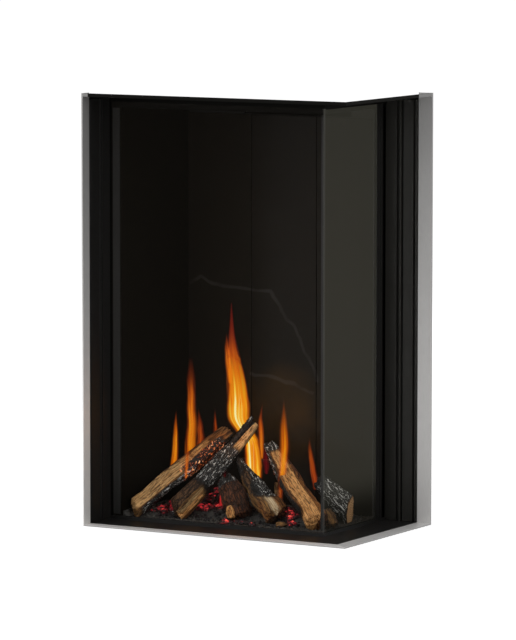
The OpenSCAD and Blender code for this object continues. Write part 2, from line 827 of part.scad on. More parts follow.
module gas_valve() {
    solenoid_z = 140;
    body_low = [40, valve_y - 26, valve_base_z];
    body_high = [112, valve_y + 26, 176];
    color("#a9adb0") from_corner() difference() {
        union() {
            block(body_low, body_high);
            rod_x(valve_y, solenoid_z, 20, body_high.x, body_high.x + 14);
            rod_x(valve_y, solenoid_z, 12, body_high.x, body_high.x + 20);
            rod_x(valve_y, flame_spindle_z, 4, 26, body_low.x);
            rod_x(valve_y, pilot_spindle_z, 3, 29, body_low.x);
            rod_x(valve_y, outlet_z, 8, body_high.x, body_high.x + 12);
            rod_z(inlet_x, valve_y, 8, inlet_z, body_low.z);
            translate([inlet_x, valve_y, inlet_z]) sphere(r = 8);
            rod_y(inlet_x, inlet_z, 8, valve_y, total_d);
            block([96, valve_y - 20, box_t], [98, valve_y + 20, body_low.z]);
            block([84, valve_y - 20, box_t], [98, valve_y + 20, box_t + 2]);
        }
        rod_y(inlet_x, inlet_z, 4.1, total_d - 20, total_d + 1);
    }
}

// Supply pipe with two elbows, from the valve to the brass injector in the mixing tube
module gas_pipe() {
    injector_y = rear_y + 10;
    elbow_r = pipe_r + 1;
    color("#c98d4b") from_corner() {
        rod_x(valve_y, outlet_z, pipe_r, 124, tube_x);
        translate([tube_x, valve_y, outlet_z]) sphere(r = elbow_r);
        rod_z(tube_x, valve_y, pipe_r, tube_z, outlet_z);
        translate([tube_x, valve_y, tube_z]) sphere(r = elbow_r);
        rod_y(tube_x, tube_z, pipe_r, injector_y + 16, valve_y);
        rod_y(tube_x, tube_z, 7, injector_y + 5, injector_y + 17);
        rod_y(tube_x, tube_z, 3, injector_y, injector_y + 6);
    }
}

// Ribbed control knob on a spindle along X, from x0 to x1
module valve_knob(z, r, x0, x1, bore_r) {
    ribs = 14;
    from_corner() difference() {
        union() {
            rod_x(valve_y, z, r, x0, x1);
            rod_x(valve_y, z, r + 2, x1 - 2.5, x1);
        }
        for (i = [0 : ribs - 1])
            rod_x(valve_y + (r + 0.8) * cos(i * 360 / ribs), z + (r + 0.8) * sin(i * 360 / ribs), r / 9,
                x0 - 1, x1 - 2.5);
        rod_x(valve_y, z, bore_r, x0 + 4, x1 + 1);
        block([x0 - 1, valve_y - 0.8, z + 2], [x0 + 1, valve_y + 0.8, z + r - 2]);
    }
}

module flame_knob() color("#222222") valve_knob(flame_spindle_z, 17, 20, 38, 4.06);

module pilot_knob() color("#222222") valve_knob(pilot_spindle_z, 11, 24, 38, 3.06);

module receiver() {
    low = [14, rear_y + 16, 185.5];
    high = [116, rear_y + 76, 232];
    color("#2b2b2d") from_corner() difference() {
        block(low, high);
        block([low.x - 1, rocker_at.y - 8, rocker_at.z - 12], [low.x + 6, rocker_at.y + 8, rocker_at.z + 12]);
        rod_y(rocker_at.x, rocker_at.z, 1.08, rocker_at.y - 11, rocker_at.y + 11);
    }
}

// Switch tilted to its off side
module rocker_switch() {
    color("#d8d8d8") from_corner() translate(rocker_at) rotate([0, 6, 0]) {
        block([-1.1, -7, -10], [1.1, 7, 10]);
        rotate([90, 0, 0]) cylinder(r = 1, h = 20, center = true);
    }
}

// ---------- wall brackets and fasteners ----------

// Stand-off channel between the casing and the wall behind it
module wall_bracket(x) {
    color("#9fa3a6") from_corner() difference() {
        union() {
            block([x - 20, rear_y, bracket_z[0]], [x + 20, rear_y + 2, bracket_z[1]]);
            block([x - 20, rear_y, bracket_z[0]], [x - 18, total_d, bracket_z[1]]);
            block([x - 20, total_d - 2, bracket_z[0]], [x + 20, total_d, bracket_z[1]]);
        }
        for (z = bracket_hole_z) {
            rod_y(x, z, 4.5, total_d - 3, total_d + 1);
            rod_y(x, z, 10, rear_y - 1, rear_y + 3);
        }
    }
}

module wall_bracket_left() wall_bracket(bracket_x[0]);
module wall_bracket_right() wall_bracket(bracket_x[1]);

// Pan head screws of the rear panel
module casing_screws() {
    color("#d0d0d0") from_corner() for (p = rear_screws) {
        rod_y(p.x, p.y, screw_r, rear_y - 6, rear_y + 0.4);
        rod_y(p.x, p.y, 2 * screw_r, rear_y, rear_y + 2);
    }
}

base_pan();
left_panel();
rear_panel();
right_panel();
top_panel();
header_front();
header_side();
trim_left();
trim_right();
trim_bottom_front();
trim_bottom_side();
reveal_left();
reveal_right();
sill_front();
sill_side();
upper_channel_front();
upper_channel_side();
glass_front();
glass_side();
glass_seals();
side_glass_clamp();
firebox_floor();
firebox_left();
firebox_right();
firebox_back();
firebox_roof();
back_liner_left();
back_liner_centre();
back_liner_right();
burner_tray();
mixing_tube();
air_shutter();
granulate_bed();
ember_layer();
log_rest();
log_back_left();
log_front_left();
log_centre();
log_right();
log_far_right();
bark_chips();
pilot_burner();
pilot_probes();
flue_collector();
exhaust_collar();
air_collar();
flue_restrictor();
relief_flap();
hinge_pins();
control_box();
control_door();
gas_valve();
gas_pipe();
flame_knob();
pilot_knob();
receiver();
rocker_switch();
wall_bracket_left();
wall_bracket_right();
casing_screws();
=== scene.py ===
"""Looks of a tall two-sided corner gas fire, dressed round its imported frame.

Places are in millimetres from the front opening's lower left corner, with X to the
right along the front, Y into the wall and Z up. ``spot`` turns them into metres.
"""

from __future__ import annotations

import bpy
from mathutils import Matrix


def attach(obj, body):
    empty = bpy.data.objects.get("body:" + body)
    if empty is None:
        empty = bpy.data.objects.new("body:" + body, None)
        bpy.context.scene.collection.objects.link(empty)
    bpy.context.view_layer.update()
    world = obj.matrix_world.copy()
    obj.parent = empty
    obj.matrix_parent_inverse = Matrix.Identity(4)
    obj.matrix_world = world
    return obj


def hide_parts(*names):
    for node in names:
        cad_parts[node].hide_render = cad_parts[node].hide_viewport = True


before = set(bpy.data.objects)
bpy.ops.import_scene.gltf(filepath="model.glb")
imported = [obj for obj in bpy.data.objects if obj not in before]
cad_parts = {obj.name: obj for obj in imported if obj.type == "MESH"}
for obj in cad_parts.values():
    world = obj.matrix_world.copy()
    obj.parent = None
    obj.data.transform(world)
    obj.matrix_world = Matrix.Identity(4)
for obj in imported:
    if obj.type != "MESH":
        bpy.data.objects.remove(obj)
bpy.context.view_layer.update()

import logging
import math
import random
from collections.abc import Callable, Iterable, Sequence
from dataclasses import dataclass
from enum import Enum

import bmesh
from mathutils import Vector, noise

LOG = logging.getLogger("corner_fire")
MM = 0.001
FULL_TURN = 6.28  # radians

Place = tuple[float, float, float]
Span = tuple[float, float]
Colour = tuple[float, float, float]
BLACK, WHITE = (0.0, 0.0, 0.0), (1.0, 1.0, 1.0)

# Driving sizes of the fire, in millimetres
OPENING_W, OPENING_H = 606.0, 880.0
WALL_X, LINER_Y, RIGHT_WALL_X, RIGHT_JOG_Y = 26.0, 380.0, 484.0, 346.0
FLOOR_Z, BED_Z, DECK_Z = 3.3, 6.0, 21.0
GLASS_BACK, INNER_X = 114.2, 491.8
DECK_LOW, DECK_HIGH = (95.0, 200.0), (435.0, 350.0)
CORNER = Vector((-0.303, -0.2575, 0.0))  # the opening's lower left corner in the frame, in metres

# Level directions at the photograph's angle, towards the viewer and to the right
TOWARDS, RIGHTWARDS = Vector((0.4937, -0.8697, 0.0)), Vector((0.8697, 0.4937, 0.0))


def spot(x: float, y: float, z: float) -> Vector:
    """A place in millimetres from the opening's corner, in the frame's metres."""
    return CORNER + Vector((x, y, z)) * MM


def tone(red: int, green: int, blue: int) -> Colour:
    """A colour written as 0 to 255 on a screen, as linear numbers."""
    return tuple(((c / 255 + 0.055) / 1.055) ** 2.4 if c > 10 else c / 255 / 12.92
                 for c in (red, green, blue))


def smooth(low: float, high: float, value: float) -> float:
    """Rises smoothly from 0 at low to 1 at high."""
    t = min(1.0, max(0.0, (value - low) / (high - low)))
    return t * t * (3 - 2 * t)


def clamp(value: float, low: float, high: float) -> float:
    """The value, kept from low to high."""
    return min(max(value, low), high)


def deck_share(x: float, y: float) -> float:
    """How much a place belongs to the burner's raised deck.

    Args:
        x: Place along X, in millimetres.
        y: Place along Y, in millimetres.

    Returns:
        1 over the deck, falling to 0 outside it.
    """
    before, past, within = 13, 14, 10
    share = 1.0
    for low, high, at in zip(DECK_LOW, DECK_HIGH, (x, y)):
        share *= smooth(low - before, low + within, at) * smooth(high + past, high - within, at)
    return share


# ---------------------------------------------------------------- shader writing


class Sock:
    """A shader socket that takes part in Python arithmetic.

    Args:
        nodes: The node tree that holds the socket.
        socket: The output socket itself.
    """

    def __init__(self, nodes: NodeTree, socket: bpy.types.NodeSocket) -> None:
        """Keeps the socket with its tree."""
        self.nodes, self.socket = nodes, socket

    def _math(self, operation: str, left: Value, right: Value) -> Sock:
        """One Math node on two values."""
        return self.nodes.node("ShaderNodeMath", {"operation": operation}, {0: left, 1: right})

    def __add__(self, other: Value) -> Sock:
        """self + other."""
        return self._math("ADD", self, other)

    def __sub__(self, other: Value) -> Sock:
        """self - other."""
        return self._math("SUBTRACT", self, other)

    def __rsub__(self, other: Value) -> Sock:
        """other - self."""
        return self._math("SUBTRACT", other, self)

    def __mul__(self, other: Value) -> Sock:
        """self * other."""
        return self._math("MULTIPLY", self, other)

    def __truediv__(self, other: Value) -> Sock:
        """self / other."""
        return self._math("DIVIDE", self, other)

    def __rtruediv__(self, other: Value) -> Sock:
        """other / self."""
        return self._math("DIVIDE", other, self)

    def __pow__(self, other: Value) -> Sock:
        """self to the power other."""
        return self._math("POWER", self, other)

    def __rpow__(self, other: Value) -> Sock:
        """other to the power self."""
        return self._math("POWER", other, self)

    __radd__, __rmul__ = __add__, __mul__

    def clamped(self) -> Sock:
        """self, kept from 0 to 1."""
        return self.nodes.node("ShaderNodeClamp", {}, {"Value": self})

    def rise(self, low: float, high: float) -> Sock:
        """Rises smoothly from 0 to 1, or falls where high is the lower.

        Args:
            low: Where it is 0.
            high: Where it is 1.

        Returns:
            The risen value.
        """
        if low > high:
            return 1.0 - self.rise(high, low)
        return self.nodes.node(
            "ShaderNodeMapRange", {"interpolation_type": "SMOOTHSTEP"},
            {"Value": self, "From Min": low, "From Max": high})


Value = Sock | float


class NodeTree:
    """A shader's nodes, every one of them made by ``add``.

    Args:
        tree: The tree itself.
    """

    def __init__(self, tree: bpy.types.NodeTree) -> None:
        """Keeps the tree."""
        self.tree = tree

    def put(self, target: bpy.types.NodeSocket, value: Value | Colour) -> None:
        """Links a socket, or sets its own value.

        Args:
            target: The input socket.
            value: What it is linked to, or its number or colour.
        """
        if isinstance(value, Sock):
            self.tree.links.new(value.socket, target)
        elif isinstance(value, tuple) and len(value) == 3 and target.type == "RGBA":
            target.default_value = (*value, 1.0)
        else:
            target.default_value = value

    def add(self, kind: str, settings: dict[str, object],
            inputs: dict[str | int, Value | Colour]) -> bpy.types.Node:
        """Adds a node.

        Args:
            kind: The node's type.
            settings: Its properties, set before its sockets. A ramp's are under "stops".
            inputs: Values or links of its sockets, by name or number.

        Returns:
            The node.
        """
        made = self.tree.nodes.new(kind)
        for key, value in settings.items():
            if key == "stops":
                self._stops(made.color_ramp, value)
            else:
                setattr(made, key, value)
        for key, value in inputs.items():
            self.put(made.inputs[key], value)
        return made

    def node(self, kind: str, settings: dict[str, object],
             inputs: dict[str | int, Value | Colour], output: str | int = 0) -> Sock:
        """Adds a node, as ``add`` does, and gives the output that is wanted of it."""
        return Sock(self, self.add(kind, settings, inputs).outputs[output])

    @staticmethod
    def _stops(ramp: bpy.types.ColorRamp, stops: Sequence[tuple[float, Colour]]) -> None:
        """Gives a colour ramp its stops.

        Args:
            ramp: The ramp, with two stops of its own.
            stops: The place and colour of each.
        """
        while len(ramp.elements) < len(stops):
            ramp.elements.new(1.0)
        for element, (place, colour) in zip(ramp.elements, stops):
            element.position = place
            element.color = (*colour, 1.0)

    def place(self) -> Sock:
        """The place on the piece at rest, in the frame's metres."""
        return self.node("ShaderNodeTexCoord", {}, {}, "Object")

    def attribute(self, name: str, output: str = "Fac") -> Sock:
        """What the mesh holds under that name."""
        return self.node("ShaderNodeAttribute", {"attribute_name": name}, {}, output)

    def stretched(self, vector: Sock, scale: Place) -> Sock:
        """A vector, multiplied along each axis."""
        return self.node("ShaderNodeVectorMath", {"operation": "MULTIPLY"}, {0: vector, 1: scale})

    def sine(self, value: Sock) -> Sock:
        """The sine of a value."""
        return self.node("ShaderNodeMath", {"operation": "SINE"}, {0: value})

    def axis(self, vector: Sock, name: str) -> Sock:
        """One number of a vector: X, Y or Z."""
        return self.node("ShaderNodeSeparateXYZ", {}, {0: vector}, name)

    def reach(self, place: Sock, name: str) -> Sock:
        """How far a place lies along X, Y or Z from the opening's corner, in millimetres."""
        return (self.axis(place, name) - getattr(CORNER, name.lower())) / MM

    def noise(self, vector: Sock, scale: float, detail: float = 4.0, rough: float = 0.5) -> Sock:
        """Cloudy noise from 0 to 1."""
        return self.node("ShaderNodeTexNoise", {},
                         {"Vector": vector, "Scale": scale, "Detail": detail, "Roughness": rough})

    def cells(self, vector: Sock, scale: float, feature: str = "F1", output: str = "Distance") -> Sock:
        """Cell pattern: the distance to a cell's middle or edge, or its random colour."""
        return self.node("ShaderNodeTexVoronoi", {"feature": feature},
                         {"Vector": vector, "Scale": scale}, output)

    def mix(self, low: Sock | Colour, high: Sock | Colour, share: Value) -> Sock:
        """A colour between two, at that share of the second."""
        return self.node("ShaderNodeMix", {"data_type": "RGBA"}, {0: share, 6: low, 7: high}, 2)

    def ramp(self, value: Sock, stops: Sequence[tuple[float, Colour]]) -> Sock:
        """A colour looked up by a value."""
        return self.node("ShaderNodeValToRGB", {"stops": stops}, {0: value})


class Shader(NodeTree):
    """A material with one Principled surface and the nodes that feed it.

    Args:
        name: The material's name.
        constants: Numbers or colours of the surface's sockets, by socket name.
    """

    def __init__(self, name: str, constants: dict[str, float | Colour]) -> None:
        """Makes the material with its surface and output."""
        self.material = bpy.data.materials.new(name)
        self.material.use_nodes = True
        super().__init__(self.material.node_tree)
        self.tree.nodes.clear()
        self.surface = self.add("ShaderNodeBsdfPrincipled", {}, constants)
        self.add("ShaderNodeOutputMaterial", {}, {"Surface": Sock(self, self.surface.outputs[0])})

    def feed(self, socket: str, value: Value | Colour) -> None:
        """Sets one of the surface's sockets, or links it."""
        self.put(self.surface.inputs[socket], value)

    def bump(self, height: Sock, distance: float, strength: float = 1.0) -> None:
        """Raises the surface's normal by a height, over that distance in metres."""
        self.feed("Normal", self.node("ShaderNodeBump", {}, {
            "Height": height, "Distance": distance, "Strength": strength}))


# ---------------------------------------------------------------- finishes


class Run(Enum):
    """The direction in which a finish's fine lines run, as a stretch along X, Y and Z."""

    ALONG_X = (0.02, 1.0, 1.0)
    ALONG_Y = (1.0, 0.02, 1.0)
    ALONG_Z = (1.0, 1.0, 0.02)


@dataclass(frozen=True)
class BrushedSteel:
    """Fine brushed stainless steel, with painted light and shade: light at the foot, darker towards the
    top.

    Args:
        name: The material's name.
        run: The direction of the brushing.
        low: Colour at the bottom of the opening, lightened as painted light.
        high: Colour at the top of the opening, darkened as painted shade.
        contrast: How much darker the brushing's grooves are.
    """

    name: str
    run: Run
    low: Colour
    high: Colour
    contrast: float = 0.12

    def make(self) -> bpy.types.Material:
        """Builds the finish.

        Returns:
            Its material.
        """
        shader = Shader(self.name, {"Metallic": 0.4})
        place = shader.place()
        lines = shader.noise(shader.stretched(place, self.run.value), 2600.0, 3.0, 0.6)
        smudge = shader.noise(place, 14.0, 3.0)
        height = shader.axis(place, "Z") / (OPENING_H * MM)
        # Painted light and shade: the steel runs from the light low colour at the foot to the dark high
        # colour at the top.
        base = shader.mix(self.low, self.high, height.rise(0.05, 1.0))
        dark = shader.mix(base, BLACK, self.contrast)
        shader.feed("Base Color", shader.mix(dark, base, lines.rise(0.3, 0.62)))
        shader.feed("Roughness", 0.34 + lines * 0.12 + smudge * 0.08)
        shader.bump(lines, 0.0003 * self.contrast)
        return shader.material


@dataclass(frozen=True)
class BlackPaint:
    """Satin or matt black heat resistant paint, with a fine orange peel.

    Args:
        name: The material's name.
        colour: The paint's colour.
        rough: Its middle roughness.
        warm: Share of a brown, heat aged cast in patches.
        gloss: Strength of its shine.
    """

    name: str
    colour: Colour
    rough: float
    warm: float = 0.0
    gloss: float = 0.2

    def make(self) -> bpy.types.Material:
        """Builds the finish.

        Returns:
            Its material.
        """
        shader = Shader(self.name, {"Specular IOR Level": self.gloss})
        place = shader.place()
        peel = shader.noise(place, 900.0, 3.0, 0.6)
        patch = shader.noise(place, 9.0, 4.0, 0.6)
        tinted = shader.mix(self.colour, tone(44, 34, 26), patch.rise(0.35, 0.75) * self.warm)
        shader.feed("Base Color", shader.mix(tinted, BLACK, peel.rise(0.62, 0.3) * 0.35))
        shader.feed("Roughness", self.rough + patch * 0.14 - 0.07)
        shader.bump(peel, 0.00012, 0.6)
        return shader.material


@dataclass(frozen=True)
class HeaderPaint:
    """Matt black paint, masked to bare brushed steel where it crosses a trim.

    Args:
        name: The material's name.
        axis: The axis along which the header runs.
        edge: Where the mask lies on that axis, in millimetres from the corner.
        rising: Whether the steel lies past the edge instead of before it.
        colour: The paint's colour.
        steel: The bare steel's colour, darkened as painted shade like the trims' tops.
    """

    name: str
    axis: str
    edge: float
    rising: bool
    colour: Colour = tone(14, 13, 11)
    # Bare steel darkened as painted shade, matching the trims' shaded tops.
    steel: Colour = (0.2, 0.197, 0.194)

    def make(self) -> bpy.types.Material:
        """Builds the finish.

        Returns:
            Its material.
        """
        shader = Shader(self.name, {"Specular IOR Level": 0.05})
        place = shader.place()
        peel = shader.noise(place, 900.0, 3.0, 0.6)
        run = shader.reach(place, self.axis)
        near, far = self.edge - 0.3, self.edge
        past = run.rise(near, far) if self.rising else run.rise(far, near)
        below_top = shader.reach(place, "Z").rise(OPENING_H - 0.1, OPENING_H - 0.5)
        bare = past * below_top
        paint = shader.mix(self.colour, BLACK, peel.rise(0.62, 0.3) * 0.35)
        shader.feed("Base Color", shader.mix(paint, self.steel, bare))
        shader.feed("Metallic", bare * 0.4)
        shader.feed("Roughness", 0.75 - bare * 0.35)
        shader.bump(peel, 0.00006, 0.6)
        return shader.material


@dataclass(frozen=True)
class GlossLiner:
    """Glossy black ceramic glass liner, with faint pale streaks of painted reflection.

    Args:
        name: The material's name.
        colour: The glass's colour.
        reflection_curves: Curves of painted reflection, each as places along X and Z in millimetres.
        brown_patch: Middle and half sizes, along X and Z, of a warm brown patch.
    """

    name: str
    colour: Colour
    reflection_curves: tuple[tuple[Span, ...], ...]
    brown_patch: tuple[float, float, float, float]

    def make(self) -> bpy.types.Material:
        """Builds the finish.

        Returns:
            Its material.
        """
        shader = Shader(self.name, {"Specular IOR Level": 0.06})
        place = shader.place()
        waver = shader.noise(place, 16.0, 2.0)
        x = shader.reach(place, "X") + waver * 26.0 - 13.0
        z = shader.reach(place, "Z") + waver * 22.0 - 11.0
        reflection_streaks: Sock | None = None
        for veil in self.reflection_curves:
            for start, stop in zip(veil, veil[1:]):
                line = self._stroke(x, z, start, stop)
                reflection_streaks = line if reflection_streaks is None else shader.node(
                    "ShaderNodeMath", {"operation": "MAXIMUM"}, {0: reflection_streaks, 1: line})
        cloud = shader.noise(place, 7.0, 4.0, 0.6)
        # Painted reflection: pale streaks and a faint pale film mixed into the base colour.
        reflection_film = reflection_streaks * cloud.rise(0.3, 0.6) * 0.03 + cloud.rise(0.45, 0.8) * 0.003
        # A warm brown patch round the given middle, uneven with the cloud.
        brown_x = (x - self.brown_patch[0]) / self.brown_patch[2]
        brown_z = (z - self.brown_patch[1]) / self.brown_patch[3]
        brown_patch = (brown_x * brown_x + brown_z * brown_z).rise(1.0, 0.1) * cloud.rise(0.1, 0.7)
        tinted = shader.mix(self.colour, tone(62, 43, 14), brown_patch * 0.75)
        shader.feed("Base Color", shader.mix(tinted, tone(210, 205, 200), reflection_film.clamped()))
        shader.feed("Roughness", 0.16 + cloud * 0.1)
        return shader.material

    @staticmethod
    def _stroke(x: Sock, z: Sock, start: Span, stop: Span) -> Sock:
        """A soft line between two places.

        Args:
            x: Place along X, in millimetres.
            z: Place along Z, in millimetres.
            start: One end.
            stop: Other end.

        Returns:
            1 on the line, falling to 0 beside it.
        """
        reach = (stop[0] - start[0], stop[1] - start[1])
        square = reach[0] ** 2 + reach[1] ** 2
        half_width_squared = 24.0
        share = (((x - start[0]) * reach[0] + (z - start[1]) * reach[1]) / square).clamped()
        off_x = x - start[0] - share * reach[0]
        off_z = z - start[1] - share * reach[1]
        return (off_x * off_x + off_z * off_z).rise(half_width_squared, 0.0)


@dataclass(frozen=True)
class SpangledZinc:
    """Zinc coated sheet with its crystal spangle and faint scratches.

    Args:
        name: The material's name.
        colour: The zinc's colour.
    """

    name: str
    colour: Colour

    def make(self) -> bpy.types.Material:
        """Builds the finish.

        Returns:
            Its material.
        """
        shader = Shader(self.name, {"Metallic": 0.85})
        place = shader.place()
        warped = shader.node("ShaderNodeVectorMath", {"operation": "ADD"}, {
            0: place, 1: shader.stretched(
                shader.node("ShaderNodeTexNoise", {}, {"Vector": place, "Scale": 60.0}, "Color"),
                (0.012, 0.012, 0.012))})
        flakes = shader.axis(shader.cells(warped, 95.0, output="Color"), "X")
        grain = shader.noise(place, 700.0, 2.0)
        cloud = shader.noise(place, 6.0, 3.0)
        deep = shader.mix(self.colour, (0.12, 0.13, 0.14), 0.55)
        shader.feed("Base Color", shader.mix(deep, self.colour, flakes * 0.5 + cloud * 0.35 + 0.2))
        shader.feed("Roughness", 0.34 + flakes * 0.16 + grain * 0.06)
        shader.bump(flakes + grain * 0.3, 0.00003)
        return shader.material


@dataclass(frozen=True)
class PlainMetal:
    """Turned, drawn or cast bare metal.

    Args:
        name: The material's name.
        colour: The metal's colour.
        rough: Its middle roughness.
        grain: Scale of its surface grain, in grains a metre.
        depth: Depth of the grain, in metres.
        tarnish: Colour of its darker patches.
    """

    name: str
    colour: Colour
    rough: float
    grain: float
    depth: float
    tarnish: Colour

    def make(self) -> bpy.types.Material:
        """Builds the finish.

        Returns:
            Its material.
        """
        shader = Shader(self.name, {"Metallic": 1.0})
        place = shader.place()
        fine = shader.noise(place, self.grain, 3.0, 0.6)
        patch = shader.noise(place, 28.0, 4.0, 0.65)
        shader.feed("Base Color", shader.mix(self.colour, self.tarnish, patch.rise(0.42, 0.78) * 0.8))
        shader.feed("Roughness", self.rough + fine * 0.1 + patch * 0.12 - 0.1)
        shader.bump(fine, self.depth)
        return shader.material


@dataclass(frozen=True)
class Moulded:
    """Moulded plastic or fired ceramic with a fine spark texture.

    Args:
        name: The material's name.
        colour: The body colour.
        rough: Its middle roughness.
        texture: Depth of its texture, in metres.
    """

    name: str
    colour: Colour
    rough: float
    texture: float

    def make(self) -> bpy.types.Material:
        """Builds the finish.

        Returns:
            Its material.
        """
        shader = Shader(self.name, {})
        place = shader.place()
        spark = shader.noise(place, 1600.0, 2.0, 0.7)
        dust = shader.noise(place, 35.0, 3.0)
        pale = shader.mix(self.colour, tone(190, 186, 178), 0.06)
        shader.feed("Base Color", shader.mix(self.colour, pale, dust.rise(0.4, 0.75)))
        shader.feed("Roughness", self.rough + dust * 0.1 - 0.05)
        shader.bump(spark, self.texture)
        return shader.material


@dataclass(frozen=True)
class RopeSeal:
    """Black woven glass rope.

    Args:
        name: The material's name.
    """

    name: str

    def make(self) -> bpy.types.Material:
        """Builds the finish.

        Returns:
            Its material.
        """
        shader = Shader(self.name, {"Roughness": 0.9})
        place = shader.place()
        z = shader.axis(place, "Z")
        across = shader.axis(place, "X") + shader.axis(place, "Y")
        strand, cross = (shader.sine(lay * 3000.0) for lay in (z + across, z - across))
        weave = (strand * cross).rise(-0.8, 0.8)
        shader.feed("Base Color", shader.mix(tone(14, 14, 14), tone(46, 45, 43), weave))
        shader.bump(weave, 0.0004)
        return shader.material


@dataclass(frozen=True)
class PaneGlass:
    """Clear ceramic glass that glows with a faint even veil, a painted reflection over what is behind it.

    Args:
        name: The material's name.
        veil: Colour of the veil, the painted reflection.
        cover: How much of what is behind it the pane hides.
        seam: Where along Y its sealed front edge stops, in millimetres, or 0 for none.
        fade: Heights between which the veil grows to its full strength, in millimetres.
        foot: Share of the veil that is left below them.
    """

    name: str
    veil: Colour
    cover: float
    seam: float = 0.0
    fade: Span = (30.0, 115.0)
    foot: float = 0.2

    def make(self) -> bpy.types.Material:
        """Builds the finish.

        Returns:
            Its material.
        """
        # The pane has no gloss of its own: its reflection is painted, a veil that it glows with.
        shader = Shader(self.name, {
            "Base Color": BLACK, "Roughness": 0.04, "IOR": 1.5, "Alpha": self.cover,
            "Specular IOR Level": 0.0, "Emission Strength": 1.0})
        place = shader.place()
        # Painted reflection, weaker towards the foot.
        share = shader.reach(place, "Z").rise(*self.fade) * (1.0 - self.foot) + self.foot
        painted_reflection = shader.mix(BLACK, self.veil, share)
        if self.seam:
            painted_reflection = self._seal_edge_and_highlight(shader, place, painted_reflection)
        shader.feed("Emission Color", painted_reflection)
        return shader.material

    def _seal_edge_and_highlight(self, shader: Shader, place: Sock, painted_reflection: Sock) -> Sock:
        """Weakens the painted reflection over the sealed front edge, and paints a thin highlight line
        beside it.

        Args:
            shader: The material.
            place: The place on the pane, in the frame's metres.
            painted_reflection: The veil's colour.

        Returns:
            The veil with its edge.
        """
        # Painted highlight: the colour of the thin light line beside the sealed edge.
        line, soft, width = (0.22, 0.215, 0.2), 0.3, 2.3
        x, y = (shader.reach(place, axis) for axis in "XY")
        sealed = shader.mix(painted_reflection, BLACK, 0.55)
        painted_reflection = shader.mix(sealed, painted_reflection, y.rise(self.seam - 0.5, self.seam))
        stop = self.seam + width
        painted_highlight = y.rise(self.seam - soft, self.seam + soft) * y.rise(stop + soft, stop - soft)
        outer_face = x.rise(INNER_X + 1.5, INNER_X + 2.5)
        return shader.mix(painted_reflection, line, painted_highlight * outer_face * 0.5)


